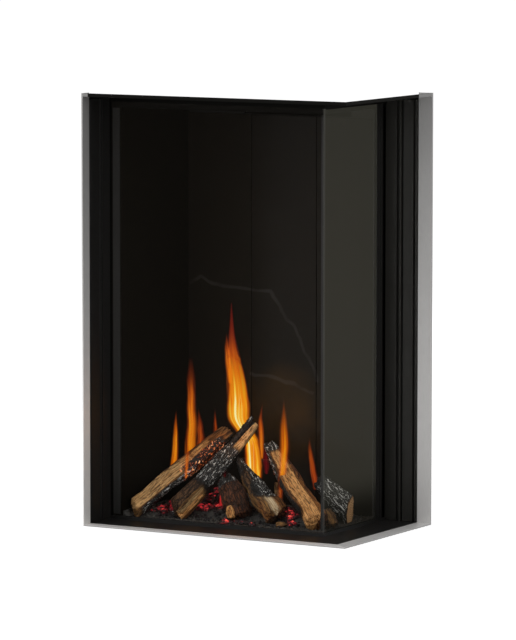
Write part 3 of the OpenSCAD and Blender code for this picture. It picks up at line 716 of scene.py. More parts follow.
@dataclass(frozen=True)
class FiredLog:
    """Painted ceramic fibre: split wood, bark, charcoal with ash, and glowing edges.

    It reads what the log's mesh holds: ``grain`` is the place along the log's own axes,
    and each mark's name is its share, 0 where there is none of it.

    Args:
        name: The material's name.
        pale: Colour of freshly split wood.
        middle: Colour of older split wood.
        deep: Colour in the wood's grooves.
        bark: Lighter colour of the bark.
        crust: Darker colour of the bark.
        ash: Colour of the ash.
    """

    name: str
    pale: Colour
    middle: Colour
    deep: Colour
    bark: Colour
    crust: Colour
    ash: Colour

    def make(self) -> bpy.types.Material:
        """Builds the finish.

        Returns:
            Its material.
        """
        shader = Shader(self.name, {"Specular IOR Level": 0.3})
        grain = shader.attribute("grain", "Vector")
        along = shader.stretched(grain, (1.0, 1.0, 0.09))
        fibre, lines = shader.noise(along, 300.0, 4.0, 0.6), shader.noise(along, 620.0, 3.0, 0.6)
        fine, blotch = shader.noise(grain, 430.0, 3.0, 0.7), shader.noise(grain, 52.0, 4.0, 0.6)
        ragged = (blotch - 0.5) * 0.9 + (fine - 0.5) * 0.6
        share = {k: (shader.attribute(k) + ragged * r).rise(0.36, 0.64) for k, r in (
            ("bark", 0.7), ("char", 0.9), ("ash", 1.0), ("pale", 0.8))}
        wood = self._wood(shader, fibre, lines, blotch, share["pale"])
        wood = shader.mix(wood, self._sawn(shader, grain, blotch, fine), shader.attribute("cut"))
        wood = shader.mix(wood, shader.stretched(wood, (1.25, 0.86, 0.56)), shader.attribute("rust"))
        plates = shader.cells(shader.stretched(grain, (1.0, 1.0, 0.4)), 150.0, "DISTANCE_TO_EDGE")
        skin = shader.mix(self.crust, self.bark, (fibre * 0.6 + fine * 0.4).rise(0.42, 0.6))
        skin = shader.mix(skin, shader.stretched(skin, (1.5, 0.85, 0.65)), shader.attribute("rust"))
        skin = shader.mix(skin, shader.mix(self.crust, BLACK, 0.75), plates.rise(0.09, 0.01))
        base = shader.mix(wood, skin, share["bark"])
        scorch = (shader.attribute("char") + ragged * 0.9).rise(0.1, 0.45)
        base = shader.mix(base, shader.mix(base, self.crust, 0.75), scorch)
        coal, bright = self._coal(shader, grain, fine, share["ash"])
        shader.feed("Base Color", shader.mix(base, coal, share["char"]))
        shader.feed("Roughness", 0.8 - share["char"] * 0.25 + bright * 0.1)
        self._glow(shader, grain, ragged)
        relief = fibre * 0.5 + lines * 0.3 + fine * 0.3 + plates.rise(0.0, 0.1) * share["bark"] * 0.6
        shader.bump(relief + bright * share["char"] * 0.5, 0.0016)
        return shader.material

    def _wood(self, shader: Shader, fibre: Sock, lines: Sock, blotch: Sock, pale: Sock) -> Sock:
        """Split wood, with dark lines along its fibres.

        Args:
            shader: The material.
            fibre: Broad streaks along the log.
            lines: Fine streaks along the log.
            blotch: Large soft patches.
            pale: Share of freshly split wood.

        Returns:
            Its colour.
        """
        old = shader.mix(self.deep, self.middle, fibre.rise(0.36, 0.62))
        fresh = shader.mix(self.middle, self.pale, (fibre * 0.7 + blotch * 0.3).rise(0.34, 0.56))
        wood = shader.mix(old, fresh, pale)
        cracks = shader.mix(self.deep, BLACK, 0.5)
        return shader.mix(wood, cracks, lines.rise(0.5, 0.6) * 0.85)

    def _sawn(self, shader: Shader, grain: Sock, blotch: Sock, fine: Sock) -> Sock:
        """A cut end: pale, with faint rings and a mottle.

        Args:
            shader: The material.
            grain: Place along the log's own axes.
            blotch: Large soft patches.
            fine: Fine mottle.

        Returns:
            Its colour.
        """
        out = shader.node("ShaderNodeVectorMath", {"operation": "LENGTH"}, {
            0: shader.stretched(grain, (1.0, 1.0, 0.0))}, "Value")
        rings = shader.sine((out + blotch * 0.006) * 1500.0)
        fresh = shader.mix(self.pale, tone(236, 222, 192), 0.55)
        return shader.mix(fresh, self.middle, (rings * 0.3 + fine * 0.9).rise(0.35, 0.8) * 0.6)

    def _coal(self, shader: Shader, grain: Sock, fine: Sock, ash: Sock) -> tuple[Sock, Sock]:
        """Charcoal blocks with flecks and lines of ash.

        Args:
            shader: The material.
            grain: Place along the log's own axes.
            fine: Fine mottle.
            ash: Share of ash.

        Returns:
            Its colour, and where the ash is.
        """
        blocks = shader.cells(shader.stretched(grain, (1.0, 1.0, 0.6)), 165.0, "DISTANCE_TO_EDGE")
        flecks = (shader.noise(shader.stretched(grain, (1.0, 1.0, 0.22)), 300.0, 2.0, 0.7)
                  + shader.attribute("ash") * 0.022)
        rims = blocks.rise(0.02, 0.07) * blocks.rise(0.2, 0.1) * fine.rise(0.5, 0.62)
        bright = (flecks.rise(0.605, 0.64) + rims * 0.3).clamped() * ash
        coal = shader.mix((0.001, 0.001, 0.001), tone(34, 30, 27), blocks.rise(0.03, 0.2))
        return shader.mix(coal, self.ash, bright), bright

    @staticmethod
    def _glow(shader: Shader, grain: Sock, ragged: Sock) -> None:
        """Glowing specks where the log burns.

        Args:
            shader: The material.
            grain: Place along the log's own axes.
            ragged: Unevenness of the specks' borders.
        """
        sparks = shader.noise(shader.stretched(grain, (1.0, 1.0, 0.7)), 230.0, 3.0, 0.7)
        spots = (shader.attribute("glow") + ragged * 0.5).rise(0.35, 0.65) * sparks.rise(0.52, 0.68)
        shader.feed("Emission Color", shader.ramp(spots, (
            (0.0, BLACK), (0.2, (0.09, 0.008, 0.0)), (0.55, (0.62, 0.09, 0.012)),
            (0.8, (1.0, 0.34, 0.09)), (1.0, (1.0, 0.72, 0.4)))))
        shader.feed("Emission Strength", 1.0)


@dataclass(frozen=True)
class LooseStone:
    """Dark grey granulate, a little lighter or browner from grain to grain.

    Args:
        name: The material's name.
        dark: Colour of the darkest grains.
        pale: Colour of the palest grains.
    """

    name: str
    dark: Colour
    pale: Colour

    def make(self) -> bpy.types.Material:
        """Builds the finish.

        Returns:
            Its material.
        """
        shader = Shader(self.name, {})
        place = shader.place()
        fine = shader.noise(place, 1500.0, 3.0, 0.7)
        each = shader.attribute("tone")
        stone = shader.mix(self.dark, self.pale, (each * 0.8 + fine * 0.35).clamped())
        shader.feed("Base Color", shader.mix(stone, tone(74, 55, 38), each.rise(0.86, 0.93) * 0.7))
        shader.feed("Roughness", 0.55 + fine * 0.3)
        shader.bump(fine, 0.0004)
        return shader.material


@dataclass(frozen=True)
class Ember:
    """Ember chips that glow from dull to bright red.

    Args:
        name: The material's name.
    """

    name: str

    def make(self) -> bpy.types.Material:
        """Builds the finish.

        Returns:
            Its material.
        """
        shader = Shader(self.name, {"Roughness": 0.8})
        place = shader.place()
        fine = shader.noise(place, 330.0, 4.0, 0.65)
        crust = shader.noise(place, 150.0, 3.0)
        heat = (shader.attribute("burn") + (fine - 0.5) * 0.9 + (crust - 0.5) * 0.5).clamped()
        shader.feed("Base Color", shader.ramp(heat, (
            (0.0, tone(22, 20, 20)), (0.45, tone(44, 24, 24)), (1.0, tone(120, 30, 28)))))
        shader.feed("Emission Color", shader.ramp(heat, (
            (0.38, BLACK), (0.52, (0.07, 0.003, 0.005)), (0.7, (0.36, 0.014, 0.02)),
            (0.86, (0.62, 0.028, 0.03)), (1.0, (0.95, 0.12, 0.075)))))
        shader.feed("Emission Strength", 1.0)
        shader.bump(fine, 0.0008)
        return shader.material


@dataclass(frozen=True)
class FlameSheet:
    """Burning gas: bright in the middle, clear at its edges and tip.

    The mesh holds ``across`` from -1 to 1, ``up`` from 0 at the root to 1 at the tip,
    ``burn`` for the flame's strength, ``red`` for its share of red, ``core`` for the
    place of its bright streak and ``veil`` for how much of it one sheet shows.

    Args:
        name: The material's name.
    """

    name: str

    def make(self) -> bpy.types.Material:
        """Builds the finish.

        Returns:
            Its material.
        """
        shader = Shader(self.name, {"Base Color": BLACK, "Roughness": 1.0,
                                    "Specular IOR Level": 0.0})
        across, up = shader.attribute("across"), shader.attribute("up")
        burn, core = shader.attribute("burn"), shader.attribute("core")
        lane = shader.node("ShaderNodeCombineXYZ", {}, {
            0: across * 1.6, 1: up * 0.7, 2: burn * 9.0 + core * 5.0})
        streak = (shader.noise(lane, 2.2, 3.0, 0.5) - 0.5) * 2.0
        full = burn.rise(0.85, 0.98)
        edge = (1.0 - across * across).clamped() ** (1.5 - full * 0.5)
        body = ((edge + streak * 0.3) / (1.15 - full * 0.4)).rise(0.0, 1.0)
        fade = (up + streak * 0.22).rise(1.0, 0.5) ** (0.9 - full * 0.45) * up.rise(0.0, 0.06)
        off = across - core
        spark = (off * off).rise(0.012, 0.0) * up.rise(0.84, 0.5) * full
        shade = across.rise(-0.35, -1.0) * up.rise(0.5, 0.3) * full
        warmth = ((0.26 + body * 0.4 + streak * 0.5) * up.rise(1.4, 0.4) * (burn * 0.78 + 0.28)
                  + spark * 0.5 - shade * 0.3).clamped()
        orange = shader.ramp(warmth, (
            (0.0, (0.10, 0.010, 0.001)), (0.22, (0.42, 0.055, 0.003)), (0.45, (0.88, 0.19, 0.003)),
            (0.66, (0.95, 0.36, 0.01)), (0.84, (1.0, 0.62, 0.06)), (1.0, (1.0, 0.93, 0.4))))
        red = shader.ramp(warmth, (
            (0.0, (0.06, 0.001, 0.002)), (0.3, (0.30, 0.006, 0.012)), (0.6, (0.78, 0.04, 0.03)),
            (1.0, (0.95, 0.16, 0.06))))
        shader.feed("Emission Color", shader.mix(orange, red, shader.attribute("red")))
        shader.feed("Emission Strength", 1.0)
        shader.feed("Alpha", ((body * fade * (0.4 + burn * 0.59) + spark * 0.3).clamped()
                              * shader.attribute("veil")))
        return shader.material


# ---------------------------------------------------------------- mesh writing


class Piece:
    """Collects faces in millimetres and makes one dressed object of them.

    Args:
        name: The piece's name.
        shares: Names of the numbers that each vertex holds.
    """

    def __init__(self, name: str, shares: Iterable[str] = ()) -> None:
        """Starts an empty mesh."""
        self.name, self.mesh = name, bmesh.new()
        self.layers = {s: self.mesh.verts.layers.float.new(s) for s in shares}
        self.grain = self.mesh.verts.layers.float_vector.new("grain") if "bark" in self.layers else None

    def point(self, place: Sequence[float], **shares: float) -> bmesh.types.BMVert:
        """Adds a vertex.

        Args:
            place: Its place, in millimetres.
            shares: Numbers that it holds.

        Returns:
            The vertex.
        """
        vertex = self.mesh.verts.new(spot(*place))
        for key, value in shares.items():
            vertex[self.layers[key]] = value
        return vertex

    def face(self, points: Sequence[bmesh.types.BMVert]) -> None:
        """Adds a face."""
        self.mesh.faces.new(points)

    def band(self, low: Sequence[bmesh.types.BMVert], high: Sequence[bmesh.types.BMVert],
             closed: bool = True) -> None:
        """Joins two rows of equally many vertices by faces.

        Args:
            low: One row.
            high: Other row.
            closed: Whether each row is a ring.
        """
        count = len(low)
        for i in range(count if closed else count - 1):
            j = (i + 1) % count
            self.face((low[i], low[j], high[j], high[i]))

    def lump(self, middle: Place, size: Place, turn: float, rng: random.Random,
             detail: int = 1, rough: float = 0.22, **shares: float) -> None:
        """Adds an uneven grain.

        Args:
            middle: Its middle, in millimetres.
            size: Its half sizes, in millimetres.
            turn: Turn about Z, in radians.
            rng: Source of its unevenness.
            detail: 0 for eight faces, and more for a rounder grain.
            rough: Share by which its corners stand in or out.
            shares: Numbers that its vertices hold.
        """
        made = (bmesh.ops.create_icosphere(self.mesh, subdivisions=detail, radius=1.0)["verts"]
                if detail else self._octahedron())
        tilt = rng.uniform(-0.5, 0.5)
        for vertex in made:
            x, y, z = vertex.co * (1.0 + rng.uniform(-rough, rough))
            x, z = x * math.cos(tilt) - z * math.sin(tilt), x * math.sin(tilt) + z * math.cos(tilt)
            x, y, z = x * size[0], y * size[1], z * size[2]
            vertex.co = spot(middle[0] + x * math.cos(turn) - y * math.sin(turn),
                             middle[1] + x * math.sin(turn) + y * math.cos(turn), middle[2] + z)
            for key, value in shares.items():
                vertex[self.layers[key]] = value

    def _octahedron(self) -> list[bmesh.types.BMVert]:
        """Adds eight faces round the origin.

        Returns:
            Their six vertices.
        """
        new = self.mesh.verts.new
        ring = [new((1, 0, 0)), new((0, 1, 0)), new((-1, 0, 0)), new((0, -1, 0))]
        top, bottom = new((0, 0, 1)), new((0, 0, -1))
        for i in range(4):
            self.face((ring[i], ring[(i + 1) % 4], top))
            self.face((ring[(i + 1) % 4], ring[i], bottom))
        return [*ring, top, bottom]

    def finish(self, material: bpy.types.Material, body: str = "casing",
               smooth_faces: bool = False, replaced: Sequence[str] = (), mend: bool = True
               ) -> bpy.types.Object:
        """Makes the object.

        Args:
            material: Its finish.
            body: The body that it rides on.
            smooth_faces: Whether its faces are shaded as one surface.
            replaced: The CAD nodes that it stands for.
            mend: Whether its faces are turned outwards.

        Returns:
            The object.
        """
        if mend:
            bmesh.ops.recalc_face_normals(self.mesh, faces=self.mesh.faces)
        for face in self.mesh.faces:
            face.smooth = smooth_faces
        data = bpy.data.meshes.new(self.name)
        self.mesh.to_mesh(data)
        self.mesh.free()
        made = bpy.data.objects.new(self.name, data)
        bpy.context.scene.collection.objects.link(made)
        data.materials.append(material)
        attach(made, body)
        if replaced:
            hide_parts(*replaced)
        LOG.info("made %s, %d faces", self.name, len(data.polygons))
        return made


def dress(material: bpy.types.Material, nodes: Iterable[str], edge: float = 0.0,
          lining: bpy.types.Material | None = None,
          lined: Callable[[Vector, Vector], bool] | None = None) -> None:
    """Gives CAD nodes a finish, and rounds the edges of those made of flat sheet.

    Args:
        material: The finish.
        nodes: The nodes' names.
        edge: Width of the rounding, in millimetres, or 0 for none.
        lining: A second finish, of the faces that are lined.
        lined: Tells by a face's middle, in millimetres, and its normal whether it is lined.
    """
    for name in nodes:
        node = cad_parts[name]
        node.data.materials.clear()
        node.data.materials.append(material)
        if lining and lined:
            node.data.materials.append(lining)
            for face in node.data.polygons:
                face.material_index = int(lined((face.center - CORNER) / MM, face.normal))
        if edge:
            weld = node.modifiers.new("weld", "WELD")
            weld.merge_threshold = 0.01 * MM
            bevel = node.modifiers.new("edge", "BEVEL")
            bevel.width, bevel.segments = edge * MM, 2
            bevel.limit_method, bevel.angle_limit = "ANGLE", math.radians(40)
        LOG.info("dressed %s", name)


# ---------------------------------------------------------------- studio


@dataclass
class Studio:
    """Pale floor, soft light and the camera at the photograph's angle.

    Args:
        camera_at: The camera's place, in the frame's metres.
        yaw: Turn of the view from straight on, in degrees.
        pitch: Tilt of the view below level, in degrees.
        roll: Roll of the view, in degrees.
        lens: Focal length, in millimetres.
        sky: Strength of the light from all round.
        floor_glow: Strength that keeps the floor white where nothing shades it.
        lamps: Each lamp's name, place and side in metres, and power in watts.
        aim: The place that the lamps face, in metres.
    """

    camera_at: Place = (4.6769, -8.3113, 1.4274)
    yaw: float = 29.58
    pitch: float = 6.07
    roll: float = -0.04
    lens: float = 264.7
    sky: float = 0.62
    floor_glow: float = 0.53
    lamps: tuple[tuple[str, Place, float, float], ...] = (
        ("key", (-1.6, -3.2, 2.6), 2.4, 62.0), ("side", (3.4, -1.2, 2.2), 2.2, 40.0),
        ("back", (-0.6, 3.4, 2.6), 2.6, 40.0))
    aim: Place = (0.0, 0.0, 0.4)

    def build(self) -> None:
        """Makes the world, floor, lamps and camera."""
        self._world()
        self._floor()
        for lamp in self.lamps:
            self._lamp(*lamp)
        self._camera()
        bpy.context.scene.view_settings.view_transform = "Standard"
        LOG.info("made the studio")

    def _camera(self) -> None:
        """The camera at the photograph's angle."""
        camera = bpy.data.cameras.new("camera")
        camera.lens, camera.sensor_width = self.lens, 36.0
        camera.clip_start, camera.clip_end = 0.1, 200.0
        seat = bpy.data.objects.new("camera", camera)
        bpy.context.scene.collection.objects.link(seat)
        seat.location = self.camera_at
        seat.rotation_mode = "XYZ"
        seat.rotation_euler = (math.radians(90 - self.pitch), math.radians(self.roll),
                               math.radians(self.yaw))
        bpy.context.scene.camera = seat

    @staticmethod
    def _pale_rays(nodes: NodeTree) -> Sock:
        """1 for rays that see the background: from the camera, off gloss and through glass."""
        camera, gloss, glass = (nodes.node("ShaderNodeLightPath", {}, {}, f"Is {kind} Ray")
                                for kind in ("Camera", "Glossy", "Transmission"))
        return (camera + gloss + glass).clamped()

    def _world(self) -> None:
        """White where it is seen, and a soft even light elsewhere."""
        world = bpy.data.worlds.new("room")
        bpy.context.scene.world = world
        world.use_nodes = True
        nodes = NodeTree(world.node_tree)
        back = nodes.tree.nodes["Background"]
        nodes.put(back.inputs["Color"], WHITE)
        nodes.put(back.inputs["Strength"], self._pale_rays(nodes) * (1.0 - self.sky) + self.sky)

    def _floor(self) -> None:
        """A wide pale floor that is white where nothing shades it."""
        shader = Shader("pale_floor", {"Base Color": (0.8, 0.8, 0.8), "Roughness": 0.9,
                                       "Specular IOR Level": 0.0})
        shader.feed("Emission Color", WHITE)
        shader.feed("Emission Strength", self._pale_rays(shader) * self.floor_glow)
        data = bpy.data.meshes.new("floor")
        reach, under = 60.0, -0.0005
        data.from_pydata([(-reach, -reach, under), (reach, -reach, under),
                          (reach, reach, under), (-reach, reach, under)], [], [(0, 1, 2, 3)])
        floor = bpy.data.objects.new("floor", data)
        data.materials.append(shader.material)
        bpy.context.scene.collection.objects.link(floor)

    def _lamp(self, name: str, place: Place, size: float, power: float) -> None:
        """Adds a soft square lamp.

        Args:
            name: Its name.
            place: Where it hangs, in metres.
            size: Its side, in metres.
            power: Its power, in watts.
        """
        lamp = bpy.data.lights.new(name, "AREA")
        lamp.size, lamp.energy, lamp.specular_factor = size, power, 0.3
        made = bpy.data.objects.new(name, lamp)
        bpy.context.scene.collection.objects.link(made)
        made.location = place
        made.rotation_mode = "QUATERNION"
        made.rotation_quaternion = (Vector(self.aim) - Vector(place)).to_track_quat("-Z", "Y")


# ---------------------------------------------------------------- casing and lining


@dataclass
class Casing:
    """Outer sheet casing with its screws and brackets.

    Args:
        zinc: Finish of its sheets and brackets.
        screw: Finish of its screws.
        paint: Finish of what looks into the fire.
        rear: How far its inside reaches along X and Y behind the openings, in millimetres.
        jamb_y: Where the side opening stops along Y, in millimetres.
        top_z: Height of its inside, in millimetres.
    """

    zinc: SpangledZinc = SpangledZinc("zinc_sheet", (0.62, 0.64, 0.66))
    screw: PlainMetal = PlainMetal("screw_steel", (0.66, 0.66, 0.65), 0.3, 1500.0, 0.00002,
                                   (0.4, 0.4, 0.39))
    paint: BlackPaint = BlackPaint("casing_paint", tone(13, 12, 10), 0.7, 0.0, 0.04)
    rear: Span = (570.5, 423.4)
    jamb_y: float = 377.4
    top_z: float = 849.5

    def _faces_inwards(self, middle: Vector, normal: Vector) -> bool:
        """Whether a face of the casing looks into the fire.

        Args:
            middle: The face's middle, in millimetres.
            normal: Its direction.

        Returns:
            Whether the place just in front of it is inside the casing or over the glass.
        """
        at = middle + normal * 2.0
        rear_x, rear_y = self.rear
        in_box = 1.0 < at.z < self.top_z and at.y < (rear_y if at.x < rear_x else self.jamb_y)
        outside_glass = at.y < GLASS_BACK or at.x > INNER_X
        over_glass = outside_glass and at.y < self.jamb_y and at.z < OPENING_H - 1.0
        return 0.5 < at.x < OPENING_W and (in_box or over_glass)

    def build(self) -> None:
        """Dresses the casing's nodes."""
        zinc = self.zinc.make()
        dress(zinc, ("base_pan", "left_panel", "rear_panel", "right_panel", "top_panel"), 0.0,
              self.paint.make(), self._faces_inwards)
        dress(zinc, ("wall_bracket_left", "wall_bracket_right"), 0.25)
        dress(self.screw.make(), ("casing_screws",))


@dataclass
class Lining:
    """Steel trim, black header, jamb sections and sills round both openings; the trim's light and shade are
    painted into its colours.

    Args:
        left_foot_painted_light: Colour of the left trim at its foot, lightened as painted light.
        left_top_painted_shade: Its colour at the top, darkened as painted shade.
        right_foot_painted_light: Colour of the right trim at its foot, a painted light darker than the
            left's.
        right_top_painted_shade: Its colour at the top, darkened as painted shade.
        lip: Colour of the trim's narrow lips on the side, darkened as painted shade.
        ledge: Colour of the front ledge, lightened as painted light.
        ledge_lip_painted_shade: Colour of its lip, darkened as painted shade.
        ledge_side_painted_light: Colour of the side ledge, lightened as painted light.
        satin: Finish of the left jamb, the sills and the side pane's clamp.
        jamb: Finish of the right jamb: the left jamb's black paint, lightened as painted light.
        matt: Finish of the channels over the glass.
        front: Finish of the front header.
        side: Finish of the side header.
    """

    # Painted light and shade: lit and shaded colours of the one steel trim.
    left_foot_painted_light: Colour = (0.78, 0.77, 0.755)
    left_top_painted_shade: Colour = (0.27, 0.265, 0.26)
    right_foot_painted_light: Colour = (0.56, 0.55, 0.54)
    right_top_painted_shade: Colour = (0.30, 0.295, 0.29)
    lip: Colour = (0.30, 0.295, 0.29)
    ledge: Colour = (0.80, 0.785, 0.77)
    ledge_lip_painted_shade: Colour = (0.38, 0.37, 0.365)
    ledge_side_painted_light: Colour = (0.64, 0.63, 0.62)
    satin: BlackPaint = BlackPaint("black_steel", tone(24, 23, 22), 0.42)
    # Painted light: the same black as the left jamb, made lighter.
    jamb: BlackPaint = BlackPaint("black_steel_jamb_painted_light", tone(36, 35, 32), 0.42)
    matt: BlackPaint = BlackPaint("black_steel_matt", tone(15, 14, 12), 0.7, 0.0, 0.04)
    front: HeaderPaint = HeaderPaint("header_front", "X", 15.4, False)
    side: HeaderPaint = HeaderPaint("header_side", "Y", 307.0, True)

    @staticmethod
    def _painted_shade_side_lip(middle: Vector, normal: Vector) -> bool:
        """Whether a face of the trim is its narrow outer lip on the side, which gets the painted shade."""
        return normal.x > 0.5 and middle.x > OPENING_W - 1.0

    @staticmethod
    def _painted_shade_front_lip(middle: Vector, normal: Vector) -> bool:
        """Whether a face of the trim is its narrow outer lip on the front, which gets the painted shade."""
        return normal.y < -0.5 and middle.y < 1.0

    def build(self) -> None:
        """Dresses the nodes that line the openings."""
        # Painted shade on the trim's lips, which get darker copies of the steel than its lit faces.
        lip = BrushedSteel("trim_lip", Run.ALONG_Z, self.lip, self.lip).make()
        dress(BrushedSteel("trim_left", Run.ALONG_Z, self.left_foot_painted_light, self.left_top_painted_shade).make(),
              ("trim_left",), 0.2)
        dress(BrushedSteel("trim_right", Run.ALONG_Z, self.right_foot_painted_light, self.right_top_painted_shade).make(),
              ("trim_right",), 0.2, lip, self._painted_shade_side_lip)
        front_lip_painted_shade = BrushedSteel("trim_ledge_lip_painted_shade", Run.ALONG_X, self.ledge_lip_painted_shade, self.ledge_lip_painted_shade, 0.04)
        dress(BrushedSteel("trim_ledge_front_painted_light", Run.ALONG_X, self.ledge, self.ledge, 0.04).make(),
              ("trim_bottom_front",), 0.2, front_lip_painted_shade.make(), self._painted_shade_front_lip)
        side = BrushedSteel("trim_ledge_side_painted_light", Run.ALONG_Y, self.ledge_side_painted_light, self.ledge_side_painted_light, 0.04)
        dress(side.make(), ("trim_bottom_side",), 0.2, lip, self._painted_shade_side_lip)
        dress(self.jamb.make(), ("reveal_right",), 0.2)
        dress(self.front.make(), ("header_front",), 0.2)
        dress(self.side.make(), ("header_side",), 0.2)
        dress(self.matt.make(), ("upper_channel_front", "upper_channel_side"), 0.2)
        dress(self.satin.make(), ("reveal_left", "sill_front", "sill_side", "side_glass_clamp"), 0.2)


@dataclass
class Glazing:
    """The two panes and their rope seals.

    Args:
        front: Finish of the front pane, with a dim painted reflection.
        side: Finish of the side pane, with a brighter painted reflection, whose sealed edge shows at the
            glass corner.
    """

    front: PaneGlass = PaneGlass("clear_glass_front", (0.026, 0.023, 0.019), 0.06)
    side: PaneGlass = PaneGlass("clear_glass_side", (0.062, 0.06, 0.047), 0.24, 109.6)

    def build(self) -> None:
        """Dresses the panes and seals."""
        dress(self.front.make(), ("glass_front",), 0.4)
        dress(self.side.make(), ("glass_side",), 0.4)
        dress(RopeSeal("rope_seal").make(), ("glass_seals",))


@dataclass
class Firebox:
    """Black steel box with three glossy liners at its back.

    Args:
        paint: Finish of its floor, back, roof and right wall.
        wall: Finish of its left wall.
        liner: Finish of the liners.
    """

    paint: BlackPaint = BlackPaint("firebox_steel", tone(20, 18, 17), 0.6, 0.35)
    wall: BlackPaint = BlackPaint("firebox_wall", tone(19, 16, 12), 0.75, 0.0, 0.0)
    liner: GlossLiner = GlossLiner("black_liner", tone(29, 25, 20), (
        # Curves of painted reflection on the liners, along X and Z in millimetres.
        ((30.0, 465.0), (54.0, 479.0), (90.0, 468.0), (138.0, 462.0), (179.0, 458.0), (221.0, 456.0),
         (257.0, 416.0), (292.0, 360.0), (316.0, 315.0), (335.0, 279.0)),
        ((180.0, 286.0), (221.0, 282.0), (273.0, 271.0), (325.0, 253.0)),
    ), (262.0, 205.0, 110.0, 120.0))

    def build(self) -> None:
        """Dresses the firebox's nodes."""
        dress(self.paint.make(), ("firebox_floor", "firebox_right", "firebox_back", "firebox_roof"), 0.2)
        dress(self.wall.make(), ("firebox_left",), 0.2)
        dress(self.liner.make(), ("back_liner_left", "back_liner_centre", "back_liner_right"), 0.3)


# ---------------------------------------------------------------- fuel bed


@dataclass(frozen=True)
class Heart:
    """A hot place among the embers.

    Args:
        x: Its place along X, in millimetres.
        y: Its place along Y, in millimetres.
        reach: Its radius, in millimetres.
        burn: How hot it is at its middle.
        pile: How far the embers are piled up there, in millimetres.
    """

    x: float
    y: float
    reach: float
    burn: float
    pile: float = 0.0

    def near(self, x: float, y: float) -> float:
        """1 at its middle, falling to 0 outside."""
        return smooth(self.reach * 1.4, 0.0, math.hypot(x - self.x, y - self.y))


